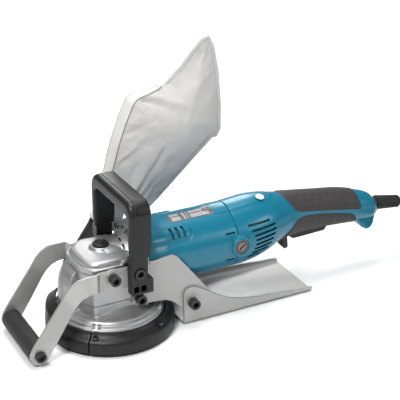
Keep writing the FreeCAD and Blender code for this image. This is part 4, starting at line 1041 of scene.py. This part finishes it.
# The bag and its nozzle have their own axes: along the tube, across it, and out to the side.
LEAN = math.radians(36.0)
ALONG = Vector((math.sin(LEAN), 0.0, math.cos(LEAN)))
ACROSS = Vector((math.cos(LEAN), 0.0, -math.sin(LEAN)))
NOZZLE_FOOT = Vector((-10.0, 79.0, 45.0))
MOUTH = NOZZLE_FOOT + ALONG * 74.0
OUTWARD = Vector((0.0, 1.0, 0.0))


def about_nozzle(radius, s, angle):
    return tuple(MOUTH + ALONG * s + ACROSS * (radius * math.cos(angle))
                 + OUTWARD * (radius * math.sin(angle)))


def build_dust_line():
    tube = loft("tube", [[about_nozzle(r, s, a) for a in turns(60)]
                         for s, r in ((-78.0, 15.6), (-20.0, 15.6), (-0.6, 15.6), (0.0, 15.2))])
    elbow = ball("elbow", 17.5, NOZZLE_FOOT)
    inlet = prism("inlet", filleted([(-26.0, 31.0), (5.0, 31.0), (5.0, 59.0), (-26.0, 59.0)], 5.0),
                  50.0, 79.0, "XZ")
    web = prism("web", [(-18.0, 46.0), (8.0, 46.0), (26.0, 84.0), (8.0, 84.0)], 66.0, 76.0, "XZ")
    duct = recast("dust_duct", [tube, elbow, inlet, web], 0.9, 5)
    band = ((15.2, -0.7), (16.4, -0.5), (16.4, 0.5), (15.2, 0.7))
    for s in (-13.8, -16.6):
        cut(duct, [loft("band", [[about_nozzle(r, s + h, a) for r, h in band]
                                 for a in turns(72)], True)], "UNION")
    cut(duct, [rod("keep_out", 61.15, (0, 0, 10.0), (0, 0, 90.0), 96),
               rod("rim_room", 65.4, (0, 0, 9.0), (0, 0, 34.0), 96)])
    cut(duct, [loft("bore", [[about_nozzle(13.6, s, a) for a in turns(48)]
                             for s in (-66.0, 6.0)])])
    hand_over(duct, 40.0, "tool", "black_rubber", "dust_nozzle")


def build_bag_cuff():
    """The gathered sleeve that slips over the nozzle."""
    rings = []
    for s, radius, pleat in ((8.3, 14.2, 0.0), (-11.8, 16.5, 0.0), (-12.0, 17.2, 0.2),
                             (-11.6, 18.6, 0.3), (-9.0, 19.3, 0.5), (-5.0, 19.2, 0.6),
                             (-3.4, 18.3, 0.5), (-1.8, 18.0, 0.4), (-0.2, 18.3, 0.5),
                             (2.0, 19.2, 0.7), (5.0, 19.1, 0.7), (7.6, 18.7, 0.6),
                             (8.3, 18.2, 0.4)):
        rings.append([about_nozzle(radius + pleat * math.sin(26 * a) + 0.25 * math.sin(7 * a + s),
                                   s, a) for a in turns(180)])
    cuff = loft("bag_cuff", rings, True)
    hand_over(cuff, 60.0, "bag", "bag_cloth", "bag_collar")


BAG_EDGE = (
    # along the bag, across it, half thickness at the edge, width of the flat hem
    (BAG_MOUTH, -BAG_NECK, 0.0, 0.0), (30.0, -25.5, 12.5, 0.0), (56.0, -35.0, 12.5, 0.0),
    (86.0, -45.5, 12.5, 0.0), (114.0, -53.0, 12.5, 0.0), (137.0, -57.0, 12.0, 0.0),
    (146.0, -54.5, 11.0, 0.0), (156.0, -43.5, 8.0, 0.0), (168.0, -32.5, 4.0, 1.5),
    (182.0, -27.0, 1.6, 3.5), (205.0, -21.5, 1.4, 5.0), (228.0, -19.0, 1.3, 5.0),
    (246.0, -16.0, 1.2, 5.0), (254.5, -9.0, 1.2, 5.0), (246.0, 7.0, 1.2, 5.0),
    (223.0, 31.0, 1.2, 5.5), (188.0, 61.0, 1.2, 5.5), (163.0, 79.0, 1.2, 5.5),
    (151.0, 79.5, 1.2, 6.0), (149.0, 75.0, 1.2, 6.0), (110.0, 66.0, 1.2, 6.0),
    (70.0, 57.0, 1.4, 5.0), (47.0, 51.5, 2.2, 3.0), (34.0, 46.0, 4.5, 0.0),
    (21.0, 33.0, 9.0, 0.0), (BAG_MOUTH, BAG_NECK, 0.0, 0.0),
)
BAG_FOLDS = (
    # start along and across, end along and across, half width, depth (negative stands out)
    (28.0, 12.0, 112.0, 13.0, 4.0, 3.0), (30.0, 22.0, 96.0, 30.0, 3.2, 2.2),
    (26.0, -6.0, 88.0, -14.0, 4.0, 1.8), (24.0, 3.0, 70.0, 3.0, 2.6, -1.6),
    (34.0, 30.0, 78.0, 46.0, 3.0, 1.6), (70.0, -36.0, 108.0, -22.0, 2.6, -1.2),
    (66.0, -30.0, 104.0, -15.0, 3.4, 1.0), (147.0, -52.0, 154.0, -6.0, 2.6, 4.2),
    (156.0, -44.0, 164.0, -2.0, 3.4, -2.2), (120.0, 62.0, 96.0, 20.0, 5.0, 1.2),
    (200.0, 30.0, 168.0, 10.0, 6.0, 1.0), (232.0, -4.0, 176.0, -12.0, 6.0, 1.2),
    (100.0, -44.0, 130.0, -30.0, 3.0, 1.4),
)


def edge_facts(s, t, outline):
    """Distance to the bag's edge, and the edge's half thickness and hem there."""
    best = (1e9, 0.0, 0.0)
    for i in range(len(outline) - 1):
        a, b = outline[i], outline[i + 1]
        ds, dt = b[0] - a[0], b[1] - a[1]
        share = max(0.0, min(1.0, ((s - a[0]) * ds + (t - a[1]) * dt) / (ds * ds + dt * dt)))
        distance = math.hypot(s - a[0] - share * ds, t - a[1] - share * dt)
        if distance < best[0]:
            best = (distance, a[2] + (b[2] - a[2]) * share, a[3] + (b[3] - a[3]) * share)
    return best


def neck_height(t):
    return math.sqrt(max(0.0, BAG_NECK ** 2 - min(BAG_NECK, abs(t)) ** 2))


def bag_height(s, t, outline):
    """Half the bag's thickness: full in the middle, thin at the hem, round at the mouth."""
    distance, edge, hem = edge_facts(s, t, outline)
    full = 20.0 - 11.0 * ramp(s, 165.0, 250.0) - 2.0 * ramp(s, 120.0, 165.0)
    rise = max(0.0, distance - hem)
    height = edge + (full - edge) * (1 - math.exp(-(rise / 21.0) ** 1.15)) if full > edge else edge
    roundness = 1 - ramp(s, BAG_MOUTH, 40.0)
    return height * (1 - roundness) + neck_height(t) * roundness


def build_bag():
    outline = []
    for i in range(len(BAG_EDGE) - 1):
        a, b = BAG_EDGE[i], BAG_EDGE[i + 1]
        count = max(1, round(math.hypot(b[0] - a[0], b[1] - a[1]) / 4.0))
        outline += [tuple(a[k] + (b[k] - a[k]) * j / count for k in range(4)) for j in range(count)]
    outline.append(BAG_EDGE[-1])
    mouth = [(BAG_MOUTH, BAG_NECK * math.cos(math.radians(18 * j))) for j in range(1, 10)]
    border = [row[:2] for row in outline] + mouth
    count = len(border)
    inside = []
    for i in range(64):
        for j in range(40):
            s, t = 12.0 + 4.0 * i, -60.0 + 4.0 * j + 2.0 * (i % 2)
            if signed_distance((s, t), border) > 2.4:
                inside.append((s, t))
    flat = [Vector(p) for p in border + inside]
    edges = [(i, (i + 1) % count) for i in range(count)]
    flat, _, triangles, *_ = geometry.delaunay_2d_cdt(flat, edges, [], 1, 1e-4)

    def at(s, t, w):
        return tuple(MOUTH + ALONG * s + ACROSS * t + OUTWARD * w)

    last = len(outline) - 1
    points, faces = [], []
    for i, (s, t) in enumerate(flat):
        on_mouth = i == 0 or last <= i < count
        height = max(neck_height(t) if on_mouth else bag_height(s, t, outline), 0.02)
        points += [at(s, t, -height), at(s, t, height)]
    near, far = range(0, len(points), 2), range(1, len(points), 2)
    middle = range(len(points), len(points) + count)
    for tri in triangles:
        faces += [[near[i] for i in tri], [far[i] for i in reversed(tri)]]
    for i in range(count):
        s, t = flat[i]
        swell = 0.0 if i >= last or i == 0 else 1.2 * min(1.0, outline[i][2] / 8.0)
        push = (Vector(border[i]) - Vector((110.0, 8.0))).normalized() * swell
        points.append(at(s + push.x, t + push.y, 0.0))
    for i in range(last):
        for first, second in ((near, middle), (middle, far)):
            faces.append([first[i], first[i + 1], second[i + 1], second[i]])
    bag = place_mesh("cloth_bag", points, faces)
    with editing(bag) as work:
        bmesh.ops.remove_doubles(work, verts=work.verts, dist=0.00008)
        bmesh.ops.triangulate(work, faces=[f for f in work.faces if len(f.verts) > 3])
        bmesh.ops.recalc_face_normals(work, faces=work.faces)

    simulate_bag(bag)
    level = bag.modifiers.new("finer", "SUBSURF")
    level.levels = level.render_levels = 2
    settle(bag)
    press_folds(bag)
    smooth_shading(bag, 75.0)
    hand_over(bag, None, "bag", "bag_cloth", "dust_bag")
    skin = bmesh.new()
    skin.from_mesh(bag.data)
    tree = BVHTree.FromBMesh(skin)
    skin.free()
    add_piping(tree, outline)
    add_stitches(tree, outline)


def bag_place(point):
    """A mesh point in millimetres along, across and outward from the bag's middle plane."""
    offset = point / MM - MOUTH
    return offset.dot(ALONG), offset.dot(ACROSS), offset.y


SIM_FRAMES = 20
SIM_REACH = 2.6 * MM        # no point of the cloth moves further than this


def simulate_bag(bag):
    """Puffs and wrinkles the cloth a little, with its hem and mouth held."""
    rest = [v.co.copy() for v in bag.data.vertices]
    held = bag.vertex_groups.new(name="held")
    for i, vertex in enumerate(bag.data.vertices):
        s, t, _ = bag_place(vertex.co)
        distance, _, hem = edge_facts(s, t, BAG_EDGE)
        at_edge = 0.85 if distance < max(1.8, hem) else 0.0
        held.add([i], 1.0 if s < 12.0 else at_edge, "REPLACE")
    cloth = bag.modifiers.new("cloth", "CLOTH")
    settings = cloth.settings
    settings.quality = 6
    settings.mass = 0.2
    settings.tension_stiffness = 12
    settings.compression_stiffness = 8
    settings.shear_stiffness = 5
    settings.bending_stiffness = 0.25
    settings.shrink_min = -0.006
    settings.use_pressure = True
    settings.uniform_pressure_force = 1.2
    settings.effector_weights.gravity = 0.0
    settings.vertex_group_mass = "held"
    settings.pin_stiffness = 3.0
    cloth.collision_settings.use_self_collision = False
    cloth.point_cache.frame_start, cloth.point_cache.frame_end = 1, SIM_FRAMES
    for frame_number in range(1, SIM_FRAMES + 1):
        scene.frame_set(frame_number)
    settle(bag)
    bag.vertex_groups.clear()
    for vertex, start in zip(bag.data.vertices, rest):
        move = vertex.co - start
        if move.length > SIM_REACH:
            vertex.co = start + move.normalized() * SIM_REACH
    scene.frame_set(1)


def press_folds(bag):
    """Presses the creases of BAG_FOLDS and a fine unevenness into the cloth."""
    bag.data.update()
    normals = [v.normal.copy() for v in bag.data.vertices]
    for vertex, normal in zip(bag.data.vertices, normals):
        s, t, w = bag_place(vertex.co)
        distance, _, hem = edge_facts(s, t, BAG_EDGE)
        free = ramp(distance - hem, 0.0, 9.0) * ramp(s, 14.0, 34.0)
        push = 0.0
        flip = 1 if w < 0 else -1
        for s0, t0, s1, t1, width, depth in BAG_FOLDS:
            if w > 0:
                s0, s1, t0, t1 = s0 + 6, s1 - 8, t0 * 0.8 - 4, t1 * 0.9 + 5
            ds, dt = s1 - s0, t1 - t0
            share = ((s - s0) * ds + (t - t0) * dt) / (ds * ds + dt * dt)
            along = max(0.0, min(1.0, share))
            bend = 2.5 * math.sin(along * 3.1 + s0) * flip
            away = math.hypot(s - s0 - along * ds, t - t0 - along * dt - bend)
            fade = 1 - 0.75 * along
            push -= depth * fade * math.exp(-(away / (width * (1 + 0.8 * along))) ** 2)
        if hem > 3.0:
            push -= 0.9 * math.exp(-((distance - hem) / 0.9) ** 2) / max(free, 0.2)
        spot = Vector((s, t, w))
        push += 0.8 * noise.noise(spot / 34.0) + 0.35 * noise.noise(spot / 13.0)
        push += 0.12 * noise.noise(spot / 3.5)
        vertex.co += normal * (push * free * MM)


def add_piping(tree, outline):
    """Piping on the gusset's two edges."""
    piping = []
    for side in (-1, 1):
        line = []
        for row in outline[2:]:
            if row[0] < 24 or row[2] < 3.0 or row[1] > 0:
                continue
            spot = (MOUTH + ALONG * row[0] + ACROSS * (row[1] + 0.4) + OUTWARD * side * row[2]) * MM
            found, _, _, _ = tree.find_nearest(spot)
            line.append(found / MM)
        rings = []
        for i, spot in enumerate(line):
            ahead = (line[min(i + 1, len(line) - 1)] - line[max(i - 1, 0)]).normalized()
            first = ahead.cross(OUTWARD).normalized()
            second = ahead.cross(first)
            rings.append([tuple(spot + first * (0.95 * math.cos(a)) + second * (0.95 * math.sin(a)))
                          for a in turns(8)])
        piping.append(loft("piping", rings))
    hand_over(merge(piping, "bag_piping"), 60.0, "bag", "bag_cloth", look=STITCH)


STITCH_PITCH = 3.6


def add_stitches(tree, outline):
    """Rows of stitches along the hem, on both sides."""
    border = [row[:2] for row in outline]
    stitches = []
    hem_line = [row for row in outline if row[3] >= 3.0]
    travelled, due = 0.0, 0.0
    for a, b in zip(hem_line, hem_line[1:]):
        step = Vector((b[0] - a[0], b[1] - a[1]))
        length = step.length
        if length > 9.0 or length < 1e-6:
            continue
        inward = Vector((-step.y, step.x)) / length
        if signed_distance((a[0] + inward.x * 3, a[1] + inward.y * 3), border) < 0:
            inward = -inward
        while due < travelled + length:
            share = (due - travelled) / length
            hem = a[3] + (b[3] - a[3]) * share
            spot = Vector((a[0], a[1])) + step * share + inward * hem
            for side in (-1, 1):
                ends = []
                for shift in (-1.2, 1.2):
                    point = Vector(spot) + step / length * shift
                    target = (MOUTH + ALONG * point.x + ACROSS * point.y + OUTWARD * side * 30) * MM
                    hit, _, _, _ = tree.ray_cast(target, -OUTWARD * side)
                    if hit is None:
                        break
                    ends.append(hit / MM + OUTWARD * side * 0.1)
                if len(ends) == 2:
                    stitches.append(rod("stitch", 0.28, ends[0], ends[1], 6))
            due += STITCH_PITCH
        travelled += length
    hand_over(merge(stitches, "bag_stitches"), None, "bag", "bag_cloth", look=STITCH)


# ------------------------------------------------------------------ cord, guard and plug

# In metres. The lead runs by listed points from the handle to the coil, and from the coil
# to the plug.
CORD_ROUTE = (
    (0.418, 0.0, 0.0739), (0.439, -0.0005, 0.0695), (0.457, -0.003, 0.055),
    (0.4695, -0.007, 0.0355), (0.4835, -0.0135, 0.0185), (0.500, -0.024, 0.0078),
    (0.514, -0.042, 0.0046), (0.5195, -0.064, 0.0040),
)
PLUG_LEAD = (
    (0.492, -0.0400, 0.0235), (0.5085, -0.0535, 0.0272), (0.5195, -0.0715, 0.0290),
    (0.5215, -0.0890, 0.0305), (0.5215, -0.1041, 0.0325), (0.5149, -0.1154, 0.0340),
    (0.5036, -0.1220, 0.0349), (0.4970, -0.1220, 0.0349),
)
CORD_DIAMETER = 0.0076
CORD_LIFT = 0.0040
COIL_CENTRE = (0.463, -0.076)
COIL_OUTER = 0.0534
COIL_TURNS = 7.75
POINTS_PER_TURN = 16


def coil_points():
    """The put-away length: turns a diameter apart, three side by side in each of three layers."""
    lays = []
    for layer in range(3):
        columns = (0, 1, 2) if layer % 2 == 0 else (2, 1, 0)
        lays += [(COIL_OUTER - CORD_DIAMETER * column, CORD_LIFT + CORD_DIAMETER * layer)
                 for column in columns]
    points = []
    for i in range(int(COIL_TURNS * POINTS_PER_TURN)):
        turn = i / POINTS_PER_TURN
        k = int(turn)
        share = ramp(turn - k, 0.55, 1.0)
        radius = lays[k][0] + (lays[k + 1][0] - lays[k][0]) * share
        height = lays[k][1] + (lays[k + 1][1] - lays[k][1]) * share
        angle = -math.radians(12.0) - 2 * math.pi * turn
        points.append((COIL_CENTRE[0] + radius * math.cos(angle),
                       COIL_CENTRE[1] + radius * math.sin(angle), height))
    return points


def build_cord():
    points = list(CORD_ROUTE) + coil_points() + list(PLUG_LEAD)
    data = bpy.data.curves.new("mains_lead", "CURVE")
    data.dimensions = "3D"
    data.bevel_depth = CORD_DIAMETER / 2
    data.bevel_resolution = 4
    data.resolution_u = 8
    data.use_fill_caps = True
    line = data.splines.new("NURBS")
    line.points.add(len(points) - 1)
    for point, place in zip(line.points, points):
        point.co = (*place, 1.0)
    line.order_u = 3
    line.use_endpoint_u = True
    line.use_smooth = True
    lead = add("mains_lead", data)
    hand_over(lead, None, "tool", "cord_rubber", "power_cord", "cord_coil")
    with_pieces = [build_guard(), build_tie()] + build_plug()


def build_guard():
    """The tapered strain relief."""
    droop = CORD_DROOP.normalized()
    level = Vector((0.0, 1.0, 0.0))
    upward = level.cross(droop)
    end = Vector(CORD_ROUTE[0]) / MM
    length = (end.x - 364.0) / droop.x
    start = end - droop * length
    profile = [(0.0, 8.0), (17.8, 8.0), (17.9, 9.1), (18.4, 9.4), (21.6, 9.4), (22.0, 9.0),
               (22.8, 9.0), (23.2, 9.3)]
    profile += [(23.2 + (length - 24.0) * i / 5, 9.3 - 0.22 * i) for i in range(1, 6)]
    profile += [(length, 7.4), (length, 3.6), (0.0, 3.6)]
    rings = [[tuple(start + droop * along + level * (radius * math.cos(a))
                    + upward * (radius * math.sin(a))) for a in turns(48)]
             for along, radius in profile]
    guard = loft("cord_relief", rings, True)
    return hand_over(guard, 50.0, "tool", "black_rubber", "cord_guard")


def build_tie():
    """A hook-and-loop strap round the coil's section."""
    low_x, high_x, top = 404.2, 430.2, 24.2
    outer = filleted([(low_x, 0.2), (high_x, 0.2), (high_x, top), (low_x, top)], 5.0)
    inner = filleted([(low_x + 1.2, 0.4), (high_x - 1.2, 0.4), (high_x - 1.2, top - 1.2),
                      (low_x + 1.2, top - 1.2)], 4.2)
    strap = prism("coil_strap", outer, -81.0, -71.0, "XZ")
    cut(strap, [prism("inside", inner, -90.0, -60.0, "XZ")])
    ease_edges(strap, 0.25)
    return hand_over(strap, 50.0, "tool", "cord_tie", "cord_tie")


def plug_ring(x, half_width, half_height, corner):
    outline = filleted([(-half_width, -half_height), (half_width, -half_height),
                        (half_width, half_height), (-half_width, half_height)], corner, 6)
    return [(x, PLUG_Y + y, PLUG_Z + z) for y, z in outline]


def build_plug():
    rows = [(496.8, 5.0, 5.0), (494.0, 5.2, 5.2)]
    for x in (491.0, 487.0, 483.0, 479.0):
        grow = (496.8 - x) * 0.16
        rows += [(x + 0.9, 5.2 + grow, 5.2 + grow), (x + 0.7, 4.2 + grow, 4.2 + grow),
                 (x - 0.7, 4.3 + grow, 4.3 + grow), (x - 0.9, 5.4 + grow, 5.4 + grow)]
    rows += [(477.0, 9.5, 8.6), (474.9, 12.2, 10.6), (473.6, 14.4, 11.6), (470.0, 15.4, 11.8),
             (464.0, 14.4, 11.0), (458.0, 14.6, 11.2), (454.0, 15.8, 11.9), (450.2, 15.9, 11.9),
             (449.2, 15.2, 11.2)]
    body = loft("plug_body", [plug_ring(x, w, h, min(w, h) * 1.1) for x, w, h in rows])
    ridges = []
    for i in range(5):
        for side in (-1, 1):
            x, y = 457.0 + 2.8 * i, PLUG_Y + side * 14.8
            ridges.append(rod("ridge", 0.7, (x, y, 29.5), (x, y, 40.3), 10))
    cut(body, ridges)
    hand_over(body, 45.0, "tool", "black_rubber", "mains_plug")
    pins = []
    for shift in (-9.5, 9.5):
        rows = ((450.0, 2.35), (431.4, 2.35), (430.5, 1.9), (430.1, 1.0))
        rings = [[(x, PLUG_Y + shift + r * math.cos(a), PLUG_Z + r * math.sin(a))
                  for a in turns(24)] for x, r in rows]
        pins.append(loft("pin", rings))
    prongs = merge(pins, "plug_pins")
    hand_over(prongs, 50.0, "tool", "brass")
    return [body, prongs]


# ------------------------------------------------------------------ the whole scene

build_studio()
finish_cad_nodes()
build_cord()
build_motor_housing()
build_rating_plate()
build_rear_handle()
build_badge()
build_grip_pads()
build_controls()
build_brush_caps()
build_gear_housing()
build_lid_screws()
build_wheel_housing()
build_front_grip()
build_arm_embossing()
build_lock_button()
build_brushes()
build_dust_line()
build_bag_cuff()
build_bag()

floor = place_mesh("floor", [(-4000, -4000, -0.3), (4000, -4000, -0.3), (4000, 4000, -0.3),
                             (-4000, 4000, -0.3)], [(0, 1, 2, 3)])
floor.data.materials.append(material("floor_paint", (0.90, 0.90, 0.90), 0.7, 0.0, 0.01, 3.0))
